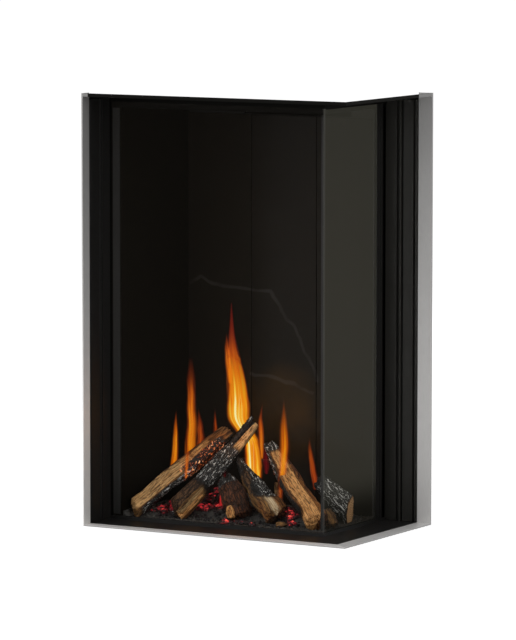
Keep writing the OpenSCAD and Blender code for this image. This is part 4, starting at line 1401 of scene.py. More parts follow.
@dataclass
class FuelBed:
    """Dark granulate over the floor, and glowing chips over the burner.

    Args:
        seed: Start of the random draws.
        grains: Count of loose grains.
        chips: Count of ember chips.
        step: Spacing of the ground's vertices, in millimetres.
        hearts: The hot places.
        low: The bed's corner nearest to the left and front, in millimetres.
        high: Its opposite corner.
        strip_every: One grain in so many lies in the strip beside the side pane.
        burner: Where chips lie anywhere, along X and along Y, in millimetres.
        kept: What no chip leaves, along X and along Y, in millimetres.
        bank: How high the ground is banked up against the left wall, in millimetres.
        bank_x: Where along X the bank starts and is full, in millimetres.
    """

    seed: int = 11
    grains: int = 5200
    chips: int = 1300
    step: float = 6.0
    hearts: tuple[Heart, ...] = (
        Heart(74, 170, 32, 0.74, 20), Heart(100, 188, 28, 0.72, 15), Heart(88, 168, 9, 1.0, 22),
        Heart(158, 214, 36, 0.8, 8), Heart(190, 222, 28, 0.82, 8), Heart(172, 205, 8, 1.0, 6),
        Heart(150, 268, 44, 0.6), Heart(190, 250, 36, 0.6), Heart(198, 226, 9, 1.0, 6),
        Heart(260, 127, 9, 1.5, 12), Heart(321, 127, 8, 0.9, 8), Heart(280, 156, 22, 0.5, 5),
        Heart(84, 208, 26, 0.66, 22), Heart(146, 260, 26, 0.64, 26), Heart(160, 278, 22, 0.68, 46),
        Heart(345, 236, 22, 0.7, 7), Heart(352, 232, 7, 1.4, 9), Heart(370, 208, 20, 0.7, 6),
        Heart(384, 186, 10, 1.2, 6), Heart(372, 200, 7, 1.2, 7), Heart(322, 272, 34, 0.6, 4))
    low: Span = (WALL_X + 0.5, GLASS_BACK + 0.5)
    high: Span = (RIGHT_WALL_X - 0.6, LINER_Y - 0.6)
    strip_every: int = 28
    burner: tuple[Span, Span] = ((104, 430), (150, 300))
    kept: tuple[Span, Span] = ((40.0, 440.0), (119.0, 340.0))
    bank: float = 15.0
    bank_x: Span = (46.0, 28.0)

    def height(self, x: float, y: float) -> float:
        """Height of the ground.

        Args:
            x: Place along X, in millimetres.
            y: Place along Y, in millimetres.

        Returns:
            Its height, in millimetres.
        """
        bumps = noise.noise(Vector((x, y, 0.0)) * 0.035)
        heaps = (0.6 * h.pile * h.near(x, y) for h in self.hearts)
        heaped = max(self.bank * smooth(*self.bank_x, x), *heaps)
        return BED_Z - 1.0 + deck_share(x, y) * (DECK_Z - BED_Z) + bumps + heaped

    def build(self) -> None:
        """Makes the ground, the grains and the embers."""
        rng = random.Random(self.seed)
        stone = LooseStone("granulate", tone(24, 23, 21), tone(92, 88, 82)).make()
        self._ground(stone)
        self._grains(stone, rng)
        self._embers(rng)

    def _ground(self, stone: bpy.types.Material) -> None:
        """The closed bed under the loose grains.

        Args:
            stone: Its finish.
        """
        piece = Piece("granulate_ground", ("tone",))
        (low_x, low_y), (high_x, high_y), under = self.low, self.high, 1.2
        columns, rows = int((high_x - low_x) / self.step), int((high_y - low_y) / self.step)
        grid = []
        for j in range(rows + 1):
            y = low_y + (high_y - low_y) * j / rows
            grid.append([])
            for i in range(columns + 1):
                x = low_x + (high_x - low_x) * i / columns
                grid[-1].append(piece.point((x, y, self.height(x, y) - under), tone=0.12))
        for lower, upper in zip(grid, grid[1:]):
            piece.band(lower, upper, closed=False)
        border = (grid[0] + [row[-1] for row in grid[1:]] + grid[-1][-2::-1]
                  + [row[0] for row in grid[-2:0:-1]])
        foot = []
        for vertex in border:
            x, y, _ = (vertex.co - CORNER) / MM
            foot.append(piece.point((x, y, FLOOR_Z + 0.05), tone=0.1))
        piece.band(border, foot)
        piece.face(foot)
        piece.finish(stone, smooth_faces=True, replaced=("granulate_bed",))

    def _grains(self, stone: bpy.types.Material, rng: random.Random) -> None:
        """Loose grains over the whole bed, and a strip beside the side pane.

        Args:
            stone: Their finish.
            rng: Source of their places and sizes.
        """
        piece = Piece("granulate_grains", ("tone",))
        strip = (RIGHT_WALL_X, GLASS_BACK + 2.0, INNER_X - 2.0, RIGHT_JOG_Y - 4.0)
        for i in range(self.grains):
            if i % self.strip_every == 0:
                x, y = rng.uniform(strip[0], strip[2]), rng.uniform(strip[1], strip[3])
                z = BED_Z - 0.6
            else:
                x = rng.uniform(self.low[0] + 2, self.high[0] - 2)
                y = rng.uniform(self.low[1] + 2, self.high[1] - 2)
                z = self.height(x, y)
            half = rng.uniform(1.1, 2.7)
            size = (half, half * rng.uniform(0.6, 1.0), half * rng.uniform(0.45, 0.8))
            piece.lump((x, y, z + rng.uniform(-0.6, 0.7)), size, rng.uniform(0, FULL_TURN), rng,
                       detail=0, rough=0.28, tone=rng.random())
        piece.finish(stone)

    def _embers(self, rng: random.Random) -> None:
        """Ember chips, hottest between the logs.

        Args:
            rng: Source of their places and sizes.
        """
        piece = Piece("ember_chips", ("burn",))
        for k in range(self.chips):
            if k % 3:
                heart = self.hearts[k // 2 % len(self.hearts)]
                spread = heart.reach * 0.55
                x, y = rng.gauss(heart.x, spread), rng.gauss(heart.y, spread)
            else:
                x, y = rng.uniform(*self.burner[0]), rng.uniform(*self.burner[1])
            x, y = clamp(x, *self.kept[0]), clamp(y, *self.kept[1])
            half = rng.uniform(2.0, 4.6)
            size = (half, half * rng.uniform(0.6, 1.0), half * rng.uniform(0.5, 0.8))
            hot = max(h.burn * h.near(x, y) for h in self.hearts) * rng.uniform(0.3, 1.15)
            lift = max(h.pile * h.near(x, y) for h in self.hearts) * rng.uniform(0.0, 0.45)
            z = self.height(x, y) + lift + rng.uniform(0.4, 2.2)
            piece.lump((x, y, z), size, rng.uniform(0, FULL_TURN), rng, rough=0.26,
                       burn=clamp(hot, 0.0, 1.0))
        piece.finish(Ember("embers").make(), replaced=("ember_layer",))


# ---------------------------------------------------------------- logs


class Mark(Enum):
    """What a stretch of a log's surface shows."""

    BARK = "bark"
    CHAR = "char"
    ASH = "ash"
    GLOW = "glow"
    PALE = "pale"
    CUT = "cut"
    RUST = "rust"


SHARES = tuple(mark.value for mark in Mark)
WHOLE = (-1.0, 2.0)  # past both ends of a log, as shares of its length


@dataclass(frozen=True)
class Patch:
    """A stretch of a log with one kind of surface.

    Args:
        mark: What it shows.
        along: Its start and stop, as shares of the log's length.
        around: Its start and stop in degrees, from the viewer's side (0) up and over (90).
        amount: Its strength, where 1 covers the wood and more leaves no gaps.
    """

    mark: Mark
    along: Span
    around: Span
    amount: float = 1.0

    def share(self, t: float, angle: float) -> float:
        """Its strength at one place.

        Args:
            t: Share of the log's length.
            angle: Angle round the log, in degrees.

        Returns:
            The strength, which fades over its borders.
        """
        soft_t, soft_a = 0.07, 14.0
        run = (smooth(self.along[0] - soft_t, self.along[0] + soft_t, t)
               * smooth(self.along[1] + soft_t, self.along[1] - soft_t, t))
        middle, half = sum(self.around) / 2, (self.around[1] - self.around[0]) / 2
        off = abs((angle - middle + 180) % 360 - 180)
        return self.amount * run * smooth(half + soft_a, half - soft_a, off)


@dataclass(frozen=True)
class Split:
    """A flat face along a log where it was split.

    Args:
        facing: Direction that it faces, in degrees, as a Patch's are.
        depth: Its distance from the log's middle, as a share of the radius.
        along: The stretch that it covers, as shares of the log's length.
    """

    facing: float
    depth: float
    along: Span = WHOLE


class End(Enum):
    """How a log ends: how ragged its rim is and how far its face bulges, by the radius."""

    SAWN = (0.05, 0.06)
    BROKEN = (0.3, 0.2)
    BURNT = (0.5, 0.4)


@dataclass(frozen=True)
class Ring:
    """One station of a log's middle line.

    Args:
        t: Share of the log's length.
        middle: The middle, in millimetres.
        way: Direction of the line.
        radius: The log's radius, in millimetres.
    """

    t: float
    middle: Vector
    way: Vector
    radius: float


@dataclass(frozen=True)
class Log:
    """One ceramic log.

    Args:
        name: Its name, which is also the name of the CAD node where it is a long log.
        places: Three places along its middle, in millimetres.
        radii: Its radius at each place, in millimetres.
        ends: How it starts and stops.
        splits: Its split faces.
        patches: What shows on its stretches.
        seed: Shifts its unevenness.
        furrow: Depth of its furrows, in millimetres.
        swell: Share of the radius by which it swells and narrows.
        slant: How far its first end juts out at the foot, as a share of the radius.
        slivers: Smaller pieces that stand off it.
    """

    name: str
    places: tuple[Place, Place, Place]
    radii: tuple[float, float, float]
    ends: tuple[End, End]
    splits: tuple[Split, ...]
    patches: tuple[Patch, ...]
    seed: float
    furrow: float = 2.0
    swell: float = 0.15
    slant: float = 0.0
    slivers: tuple[Log, ...] = ()

    def build(self, piece: Piece) -> None:
        """Adds the log to a mesh.

        Args:
            piece: The mesh.
        """
        spine, length = self._spine()
        around = max(36, int(max(self.radii) * 4))
        rows = [self._ring(piece, at, length, around) for at in spine]
        for low, high in zip(rows, rows[1:]):
            piece.band(low, high)
        self._cap(piece, rows[0], self.ends[0], spine[0])
        self._cap(piece, rows[-1], self.ends[1], spine[-1])
        for sliver in self.slivers:
            sliver.build(piece)

    def _spine(self) -> tuple[list[Ring], float]:
        """The log's middle line.

        Returns:
            Its stations from start to stop, and its length in millimetres.
        """
        p = [Vector(q) for q in self.places]
        runs = ((p[1] - p[0]).length, (p[2] - p[1]).length)
        length = sum(runs)
        knee = runs[0] / length
        spacing, turning, sway = 1.7, 0.2, 0.1
        count = int(length / spacing)
        first, second = (p[1] - p[0]).normalized(), (p[2] - p[1]).normalized()
        spine = []
        for i in range(count + 1):
            t = i / count
            leg = int(t >= knee)
            share = (t - knee) / (1 - knee) if leg else t / knee
            radius = self.radii[leg] + (self.radii[leg + 1] - self.radii[leg]) * share
            way = first.lerp(second, smooth(knee - turning, knee + turning, t)).normalized()
            wobble = Vector([noise.noise(Vector((t * 4, self.seed, k))) for k in (0, 5, 9)])
            middle = p[leg].lerp(p[leg + 1], share) + wobble * radius * sway
            spine.append(Ring(t, middle, way, radius))
        return spine, length

    def _ring(self, piece: Piece, at: Ring, length: float, around: int) -> list[bmesh.types.BMVert]:
        """One ring of vertices round the log.

        Args:
            piece: The mesh.
            at: The station.
            length: The log's length, in millimetres.
            around: Count of vertices.

        Returns:
            The ring's vertices.
        """
        t, way = at.t, at.way
        front = (TOWARDS - way * TOWARDS.dot(way)).normalized()
        above = front.cross(way)
        if above.z < 0:
            above = -above
        ring = []
        for i in range(around):
            angle = 360.0 * i / around
            radians = math.radians(angle)
            marks = {m.value: 0.0 for m in Mark}
            for patch in self.patches:
                key = patch.mark.value
                marks[key] = max(marks[key], patch.share(t, angle))
            out, flat = self._outline(t, angle, at.radius, length, marks)
            place = at.middle + (front * math.cos(radians) + above * math.sin(radians)) * out
            tilt = self.slant * out * math.sin(radians) * smooth(0.4, 0.0, t)
            place = place + way * (self._ragged(t, angle, at.radius) + tilt)
            place.x = max(place.x, WALL_X + 0.4)
            place.z = max(place.z, self._ground(place.x, place.y))
            marks["bark"] *= 1.0 - flat
            vertex = piece.point(place, **marks)
            vertex[piece.grain] = (math.cos(radians) * out * MM, math.sin(radians) * out * MM,
                                   (t * length + self.seed * 37) * MM)
            ring.append(vertex)
        return ring

    @staticmethod
    def _ground(x: float, y: float) -> float:
        """Height of what the log may stand on, in millimetres."""
        return BED_Z - 2.0 + (DECK_Z - BED_Z) * deck_share(x, y)

    def _outline(self, t: float, angle: float, radius: float, length: float,
                 marks: dict[str, float]) -> tuple[float, float]:
        """Shape of the log's surface at one place.

        Args:
            t: Share of the log's length.
            angle: Angle round the log, in degrees.
            radius: The radius there, in millimetres.
            length: The log's length, in millimetres.
            marks: What the surface shows there.

        Returns:
            Its distance from the middle in millimetres, and how much of it is a split face.
        """
        radians, run = math.radians(angle), t * length
        ring = Vector((math.cos(radians), math.sin(radians), 0.0))
        slow = noise.noise(ring * 1.3 + Vector((0, 0, run * 0.016 + self.seed * 3)))
        out = radius * (1.0 + self.swell * slow)
        flat = 0.0
        for split in self.splits:
            turn = radians - math.radians(split.facing)
            face = math.cos(turn)
            start, stop, soft = *split.along, 0.03
            here = smooth(start - soft, start + soft, t) * smooth(stop + soft, stop - soft, t)
            if face > 0.08 and here > 0:
                step = noise.noise(Vector((math.sin(turn) * radius * 0.22, run * 0.012,
                                           self.seed + split.facing))) * radius * 0.12
                limit = (radius * split.depth + step) / face
                if limit < out:
                    flat = max(flat, here * smooth(0.0, 1.5, out - limit))
                    out = out + (limit - out) * here
        skin = ring * radius
        groove = abs(noise.noise(Vector((skin.x * 0.15, skin.y * 0.15, run * 0.026 + self.seed * 7))))
        thread = abs(noise.noise(Vector((skin.x * 0.34, skin.y * 0.34, run * 0.035 + self.seed * 3))))
        near = noise.voronoi(Vector((skin.x * 0.14, skin.y * 0.14, run * 0.1 + self.seed)))[0]
        block = noise.noise(skin * 0.3 + Vector((0, 0, run * 0.3)))
        thread_depth, crack_depth, block_height = 0.9, 1.9, 1.2
        out -= smooth(0.13, 0.0, groove) * self.furrow * (0.35 + 0.65 * marks["bark"]) * (1 - 0.5 * flat)
        out -= smooth(0.12, 0.0, thread) * thread_depth
        out -= marks["char"] * smooth(0.2, 0.02, near[1] - near[0]) * crack_depth
        out += marks["char"] * block * block_height
        return max(out, radius * 0.3), flat

    def _ragged(self, t: float, angle: float, radius: float) -> float:
        """How far the surface near an end is drawn out or in along the log.

        Args:
            t: Share of the log's length.
            angle: Angle round the log, in degrees.
            radius: The radius there, in millimetres.

        Returns:
            The distance, in millimetres.
        """
        rim, _ = self.ends[round(t)].value
        reach = rim * radius
        jag = noise.noise(Vector((math.cos(math.radians(angle)) * 2.1,
                                  math.sin(math.radians(angle)) * 2.1, self.seed * 5 + round(t))))
        return jag * reach * smooth(0.16, 0.0, min(t, 1.0 - t))

    def _cap(self, piece: Piece, ring: list[bmesh.types.BMVert], end: End, at: Ring) -> None:
        """Closes one end with shrinking rings.

        Args:
            piece: The mesh.
            ring: The log's last ring of vertices there.
            end: How the log ends.
            at: The station at that end.
        """
        outward = at.way if at.t > 0.5 else -at.way
        centre = spot(*at.middle)
        steps, depth = 9, end.value[1] * at.radius
        last = ring
        for k in range(1, steps):
            share = 1.0 - k / steps
            fresh = []
            for base in ring:
                place = centre + (base.co - centre) * share
                rough = noise.noise(place * 190.0 + Vector((self.seed, 0, 0)))
                bulge = 1 - share ** 2 + rough * 0.9
                vertex = piece.mesh.verts.new(place + outward * MM * depth * bulge)
                for layer in piece.layers.values():
                    vertex[layer] = base[layer]
                if end is End.SAWN:
                    vertex[piece.layers["bark"]] *= smooth(0.8, 1.0, share)
                    vertex[piece.layers["cut"]] = smooth(1.0, 0.86, share)
                    vertex[piece.layers["char"]] *= 0.4
                vertex[piece.grain] = (*(base[piece.grain].xy * share), base[piece.grain].z)
                fresh.append(vertex)
            piece.band(last, fresh)
            last = fresh
        piece.face(last)


def all_round(mark: Mark, start: float = WHOLE[0], stop: float = WHOLE[1], amount: float = 1.0) -> Patch:
    """A patch right round a log, from start to stop as shares of its length."""
    return Patch(mark, (start, stop), (-200.0, 200.0), amount)


BARK, CHAR, ASH, GLOW, PALE, CUT, RUST = Mark
SAWN, BROKEN, BURNT = End.SAWN, End.BROKEN, End.BURNT


@dataclass
class LogSet:
    """The five long logs, the loose pieces round them and the rod rest under them.

    Args:
        wood: Finish of the logs.
        logs: The long logs.
        loose: The loose pieces, which make one mesh.
    """

    wood: FiredLog = FiredLog("log_ceramic", tone(216, 180, 126), tone(152, 110, 62), tone(58, 36, 20),
                              tone(108, 76, 48), tone(30, 21, 15), tone(240, 238, 230))
    logs: tuple[Log, ...] = (
        Log("log_back_left", ((42, 134, 25), (100, 232, 96), (156, 322, 166)), (20, 22, 19),
            (BROKEN, BROKEN), (Split(58, 0.66), Split(14, 0.78)),
            (Patch(BARK, WHOLE, (98, 250)), Patch(PALE, (-1, 0.62), (-12, 100)),
             Patch(PALE, (0.6, 0.84), (28, 100), 0.6), Patch(RUST, (0.5, 0.95), (-20, 120), 0.8),
             Patch(RUST, (-1, 0.5), (-30, 120), 0.3),
             Patch(CHAR, (0.05, 2), (-150, -22)), Patch(CHAR, (0.5, 0.9), (-150, 22)),
             Patch(ASH, (0.0, 0.6), (-120, -14)), Patch(ASH, (0.8, 1.0), (-60, 60), 0.5),
             Patch(GLOW, (0.46, 0.9), (-80, 34))), 1.0, 2.0, 0.15, 0.4),
        Log("log_front_left", ((136, 150, 25), (182, 252, 112), (213, 334, 185)), (24, 21, 9),
            (BROKEN, BROKEN), (Split(-38, 0.64, (-1.0, 0.3)), Split(20, 0.74, (0.62, 2.0))),
            (Patch(BARK, (-1, 0.55), (-6, 230)), Patch(PALE, (-1, 0.3), (-80, -8)),
             Patch(RUST, (-1, 0.3), (-130, -40), 0.8),
             Patch(CHAR, (0.27, 0.7), (-120, 150)), Patch(CHAR, (0.66, 2.0), (34, 140)),
             Patch(CHAR, (0.27, 0.8), (-150, -60)), Patch(PALE, (0.68, 2.0), (-60, 34), 0.85),
             Patch(ASH, (0.3, 0.74), (-50, 120))), 2.0, 2.6, 0.15, 0.35, (
                Log("log_front_left_sliver", ((190, 276, 150), (202, 306, 178), (209, 329, 200)),
                    (5, 6, 4), (BURNT, BROKEN), (), (all_round(CHAR), all_round(ASH, 0.8, 2.0)), 2.6,
                    1.0, 0.2),)),
        Log("log_centre", ((346, 182, 27), (264, 228, 80), (214, 266, 118)), (28, 20, 8),
            (BROKEN, BURNT), (Split(42, 0.5, (-1.0, 0.26)), Split(-62, 0.8)),
            (all_round(BARK), Patch(CHAR, (0.24, 2.0), (24, 170)), Patch(CUT, (-1, 0.22), (12, 74)),
             Patch(CHAR, (0.26, 0.5), (-10, 170)), Patch(RUST, (-1, 0.2), (70, 200), 0.6),
             Patch(RUST, (-1, 0.2), (-90, -20), 0.6),
             Patch(CHAR, (0.75, 2.0), (-200, 200)), Patch(ASH, (0.18, 2), (20, 130), 1.4)),
            3.0, 3.4, 0.22),
        Log("log_right", ((459, 154, 26), (356, 226, 90), (270, 296, 149)), (25, 23, 13),
            (BROKEN, BURNT), (Split(20, 0.62), Split(62, 0.8, (-1.0, 0.5))),
            (Patch(BARK, WHOLE, (58, 200)), Patch(PALE, (-1, 0.9), (-22, 58)), all_round(RUST, amount=0.7),
             Patch(BARK, (0.1, 2), (-170, -100)), Patch(PALE, (-1, 0.1), (-120, 58), 0.8),
             Patch(CHAR, (0.9, 2), (-200, 200)), Patch(ASH, (0.9, 2), (-90, 120)),
             Patch(CHAR, (0.12, 2), (-170, -38)), Patch(ASH, (0.6, 0.9), (-80, -30)),
             Patch(GLOW, (0.6, 2), (-150, -70), 0.8)), 4.0, 2.6),
        Log("log_far_right", ((469, 275, 30), (435, 274, 58), (402, 275, 86)), (26, 23, 18),
            (SAWN, BURNT), (Split(60, 0.84),),
            (all_round(BARK), all_round(CHAR, 0.02, 2.0), all_round(ASH, 0.0, 0.9, 2.2),
             all_round(RUST, -1, 0.9, 0.8)), 5.0, 3.4, 0.15, 0.75),
    )
    loose: tuple[Log, ...] = (
        Log("stub", ((262, 190, 16), (240, 198, 50), (217, 208, 84)), (24, 26, 18), (BROKEN, BURNT),
            (), (all_round(BARK), all_round(RUST, amount=0.7), all_round(CHAR, 0.85, 2.0, 0.75),
                 all_round(CHAR, amount=0.24), all_round(ASH, amount=0.4)), 6.0, 4.2, 0.26),
        Log("tan_chip", ((255, 164, 15), (252, 165, 26), (248, 166, 38)), (7, 9, 5), (BROKEN, BROKEN),
            (Split(10, 0.8),), (all_round(PALE), all_round(RUST, amount=0.8)), 7.0, 1.0, 0.3),
        Log("brown_chip", ((478, 182, 14), (470, 186, 26), (461, 191, 40)), (13, 14, 9), (BROKEN, BURNT),
            (Split(30, 0.75),), (all_round(BARK),), 8.0, 2.4, 0.3),
        Log("curl", ((323, 243, 20), (317, 246, 48), (312, 249, 80)), (4, 9, 4), (BROKEN, BURNT),
            (Split(0, 0.3), Split(180, 0.3)), (all_round(PALE, 0.2, 0.8, 0.5),), 9.0, 1.6, 0.3),
        Log("small_chip", ((364, 156, 9), (372, 160, 10), (381, 165, 10)), (6, 7, 5), (BROKEN, BURNT),
            (Split(40, 0.6),), (all_round(BARK, amount=0.5),), 10.0, 1.0, 0.3),
        Log("left_chip", ((109, 171, 10), (118, 176, 11), (127, 181, 12)), (8, 9, 6), (BROKEN, BURNT),
            (Split(40, 0.7),), (all_round(CHAR), all_round(ASH, amount=0.5)), 11.0, 1.4, 0.3),
    )

    def build(self) -> None:
        """Makes the logs and the loose pieces, and dresses the rest."""
        material = self.wood.make()
        for log in self.logs:
            piece = Piece(log.name, SHARES)
            log.build(piece)
            piece.finish(material, smooth_faces=True, replaced=(log.name,))
        piece = Piece("bark_chips", SHARES)
        for log in self.loose:
            log.build(piece)
        piece.finish(material, smooth_faces=True, replaced=("bark_chips",))
        dress(BlackPaint("rest_steel", tone(20, 19, 18), 0.6).make(), ("log_rest",))


# ---------------------------------------------------------------- flames


@dataclass(frozen=True)
class Flame:
    """One tongue of flame.

    Args:
        name: The piece's name.
        path: Places along its middle from root to tip, in millimetres.
        halves: Half its width at as many equal steps from root to tip, in millimetres.
        burn: Its strength, from 0 to 1.
        red: Share of red in it, from 0 to 1, at as many equal steps.
        core: Place of its bright streak across it, from -1 to 1, at as many equal steps.
    """

    name: str
    path: tuple[Place, ...]
    halves: tuple[float, ...]
    burn: float
    red: tuple[float, ...] = (0.0,)
    core: tuple[float, ...] = (0.0,)

    def build(self, material: bpy.types.Material) -> None:
        """Makes three crossing sheets, the first square to the photograph's view.

        Args:
            material: Their finish.
        """
        piece = Piece(self.name, ("across", "up", "burn", "red", "core", "veil"))
        for turn, share, veil in ((0.0, 1.0, 1.0), (62.0, 0.6, 0.3), (118.0, 0.6, 0.3)):
            self._sheet(piece, math.radians(turn), share, veil)
        made = piece.finish(material, smooth_faces=True, mend=False)
        made.visible_shadow = made.visible_diffuse = False

    def _sheet(self, piece: Piece, turn: float, share: float, veil: float) -> None:
        """One curved sheet.

        Args:
            piece: The mesh.
            turn: Turn about the flame's middle, in radians.
            share: Share of the flame's width.
            veil: How much of the flame this sheet shows.
        """
        rows, columns = 56, 16
        thinnest, sway, bulge = 0.3, 0.12, 0.35
        side = RIGHTWARDS * math.cos(turn) - TOWARDS * math.sin(turn)
        back = -RIGHTWARDS * math.sin(turn) - TOWARDS * math.cos(turn)
        points = [Vector(p) for p in self.path]
        halves, red, core = ([Vector((h, 0, 0)) for h in row] for row in (self.halves, self.red, self.core))
        last: list[bmesh.types.BMVert] | None = None
        for j in range(rows + 1):
            up = j / rows
            half = max(thinnest, self._along(halves, up).x) * share
            middle = self._along(points, up) + side * noise.noise(
                Vector((up * 5.0, self.burn * 9, points[0].x))) * half * sway
            marks = {"up": up, "burn": self.burn, "veil": veil,
                     "red": self._along(red, up).x, "core": self._along(core, up).x}
            row = []
            for i in range(columns + 1):
                across = -1.0 + 2.0 * i / columns
                belly = bulge * half * (1.0 - across * across) * math.sin(up * 5.0 + turn)
                row.append(piece.point(middle + side * (half * across) + back * belly,
                                       across=across, **marks))
            if last is not None:
                piece.band(last, row, closed=False)
            last = row

    @staticmethod
    def _along(points: list[Vector], up: float) -> Vector:
        """A place on the smooth line through evenly counted points.

        Args:
            points: The points.
            up: Share of the way along them.

        Returns:
            The place.
        """
        if len(points) == 1:
            return points[0]
        run = up * (len(points) - 1)
        k = min(int(run), len(points) - 2)
        f = run - k
        before, after = points[max(k - 1, 0)], points[min(k + 2, len(points) - 1)]
        a, b = points[k], points[k + 1]
        return 0.5 * (2 * a + (b - before) * f + (2 * before - 5 * a + 4 * b - after) * f * f
                      + (3 * a - before - 3 * b + after) * f ** 3)


def upright(y: float, *places: Span) -> tuple[Place, ...]:
    """A path at one depth, through places along X and Z, in millimetres."""
    return tuple((x, y, z) for x, z in places)


@dataclass
class Fire:
    """All tongues of flame, with the warm light that they throw.

    Args:
        flames: The tongues.
        lamps: Each warm lamp's place in millimetres, and its power in watts.
        warm: Colour of the lamps.
    """

    flames: tuple[Flame, ...] = (
        Flame("flame_main", (
            (253, 260, 76), (252, 260, 93), (249, 263, 117), (232, 290, 135),
            (205, 330, 150), (179, 350, 167), *upright(
                352, (166, 189), (164, 214), (162, 236), (158, 266), (153, 301), (149, 338), (147, 371),
                (146, 432))),
            (16, 19, 19, 18, 18, 20, 24, 26, 25, 23, 19, 12, 7, 1), 1.0, (0.0, 0.0, 0.0, 0.1, 0.9),
            (-0.3, -0.3, -0.35, -0.35, -0.3, -0.25, -0.25, -0.25, -0.22, -0.2, -0.2, 0.0, 0.0, 0.0)),
        Flame("flame_main_tongue", upright(357, (141, 262), (139, 287), (136, 316), (133, 341), (131, 370)),
              (5, 9, 9, 7, 1), 0.74, (0.0, 0.5)),
        Flame("flame_beside", upright(
            362, (214, 108), (212, 132), (211, 157), (210, 182), (211, 203), (215, 228)),
            (3, 7, 8, 7, 4, 1), 0.55, (0.1, 0.4)),
        Flame("flame_left_tall", upright(
            300, (78, 101), (78, 137), (81, 179), (80, 214), (80, 248), (79, 277), (79, 318)),
            (15, 15, 13, 12, 11, 12, 6), 0.66, (0.0, 0.3), (-0.2, 0.0)),
        Flame("flame_left_red", upright(312, (95, 122), (95, 152), (93, 181), (90, 214)),
              (12, 11, 8, 1), 0.3, (0.35,)),
        Flame("flame_left_low", ((129, 194, 82), (128, 198, 106), (128, 203, 130), (129, 208, 152)),
              (3, 5, 6, 3), 0.42),
        Flame("flame_left_small", upright(262, (61, 84), (63, 119), (65, 151), (65, 182), (66, 212)),
              (11, 9, 7, 5, 1), 0.76, (0.0,), (0.4,)),
        Flame("flame_left_faint", upright(330, (122, 140), (121, 165), (120, 188), (119, 214)),
              (7, 6, 4, 1), 0.24, (0.3,)),
        Flame("flame_right", upright(
            215, (342, 84), (345, 108), (347, 134), (348, 160), (348, 195), (348, 228), (348, 264)),
            (8, 12, 14, 13, 11, 7, 1), 0.7),
        Flame("flame_right_root", upright(217, (338, 36), (338, 58), (340, 80), (344, 108)),
              (5, 7, 8, 5), 0.2, (0.15,)),
        Flame("flame_far_right", upright(300, (377, 63), (371, 94), (365, 124), (361, 149), (360, 172)),
              (9, 9, 7, 5, 1), 0.34, (0.6, 0.1)),
        Flame("flame_low_red", upright(215, (199, 16), (202, 45), (206, 70), (211, 104)),
              (6, 8, 8, 3), 0.6, (1.0,)),
        Flame("flame_crimson", upright(285, (268, 90), (267, 110), (265, 132), (262, 152)),
              (4, 9, 8, 2), 0.06, (1.0,)),
    )
    lamps: tuple[tuple[Place, float], ...] = (
        ((215, 262, 190), 0.07), ((110, 300, 140), 0.02), ((320, 300, 130), 0.02))
    warm: Colour = (1.0, 0.42, 0.13)

    def build(self) -> None:
        """Makes the flames and their lamps."""
        gas = FlameSheet("flame").make()
        for flame in self.flames:
            flame.build(gas)
        for place, power in self.lamps:
            lamp = bpy.data.lights.new("firelight", "POINT")
            lamp.energy, lamp.color = power, self.warm
            lamp.shadow_soft_size, lamp.specular_factor = 0.03, 0.0
            made = bpy.data.objects.new("firelight", lamp)
            bpy.context.scene.collection.objects.link(made)
            made.location = spot(*place)


# ---------------------------------------------------------------- burner, flue and controls


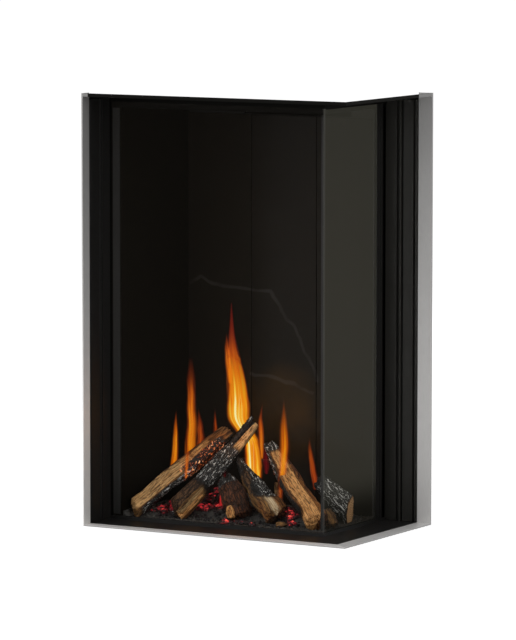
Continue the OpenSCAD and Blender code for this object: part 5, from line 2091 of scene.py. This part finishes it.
@dataclass
class Services:
    """Burner, pilot, flue and the control compartment.

    Args:
        cast: Finish of the gas valve.
        bright: Finish of the flue collars.
        plain: Finish of the mixing tube, the pilot and the hinge pins.
        brass: Finish of the air shutter.
        copper: Finish of the gas pipe.
        collector: The flue collector's inside along X and Z, in millimetres.
        collector_y: Where its inside stops along Y, in millimetres.
    """

    cast: PlainMetal = PlainMetal("cast_valve", (0.6, 0.61, 0.62), 0.5, 900.0, 0.00012,
                                  (0.42, 0.43, 0.44))
    bright: PlainMetal = PlainMetal("flue_steel", (0.64, 0.65, 0.66), 0.25, 1300.0, 0.00002,
                                    (0.5, 0.5, 0.5))
    plain: PlainMetal = PlainMetal("steel_parts", (0.5, 0.5, 0.49), 0.38, 1200.0, 0.00004,
                                   (0.3, 0.28, 0.25))
    brass: PlainMetal = PlainMetal("brass", (0.78, 0.56, 0.26), 0.28, 1400.0, 0.00002,
                                   (0.5, 0.34, 0.15))
    copper: PlainMetal = PlainMetal("copper_pipe", (0.76, 0.42, 0.26), 0.3, 1400.0, 0.00002,
                                    (0.42, 0.2, 0.12))
    collector: tuple[Span, Span] = ((151.0, 415.0), (641.0, 844.0))
    collector_y: float = 407.6

    def _faces_fire(self, middle: Vector, normal: Vector) -> bool:
        """Whether a face of the flue collector is on its inside.

        Args:
            middle: The face's middle, in millimetres.
            normal: Its direction.

        Returns:
            Whether the place just in front of it is inside.
        """
        at = middle + normal * 2.0
        (low_x, high_x), (low_z, high_z) = self.collector
        return low_x < at.x < high_x and at.y < self.collector_y and low_z < at.z < high_z

    def build(self) -> None:
        """Dresses the working nodes."""
        zinc = SpangledZinc("zinc_box", (0.58, 0.6, 0.62)).make()
        soot = BlackPaint("flue_soot", tone(13, 12, 10), 0.8, 0.0, 0.0).make()
        dress(zinc, ("control_box", "flue_restrictor"), 0.2)
        dress(zinc, ("flue_collector",), 0.0, soot, self._faces_fire)
        dress(zinc, ("control_door", "relief_flap"))
        dress(BlackPaint("burner_steel", tone(30, 27, 25), 0.6, 0.5).make(), ("burner_tray",), 0.2)
        dress(self.plain.make(), ("mixing_tube", "pilot_burner", "hinge_pins"))
        dress(self.brass.make(), ("air_shutter",))
        dress(self.copper.make(), ("gas_pipe",))
        dress(self.bright.make(), ("exhaust_collar", "air_collar"))
        dress(self.cast.make(), ("gas_valve",))
        dress(Moulded("white_ceramic", tone(226, 221, 210), 0.4, 0.00003).make(), ("pilot_probes",))
        dress(Moulded("black_plastic", tone(30, 30, 31), 0.5, 0.0001).make(),
              ("flame_knob", "pilot_knob", "receiver"))
        dress(Moulded("light_plastic", tone(205, 204, 199), 0.35, 0.00004).make(), ("rocker_switch",))


def main() -> None:
    """Builds the studio and every sub-assembly, in order."""
    Studio().build()
    for assembly in (Casing(), Lining(), Glazing(), Firebox(), FuelBed(), LogSet(), Fire(), Services()):
        assembly.build()
        LOG.info("finished %s", type(assembly).__name__)


if __name__ == "__main__":
    logging.basicConfig(level=logging.INFO, format="%(message)s")
    main()
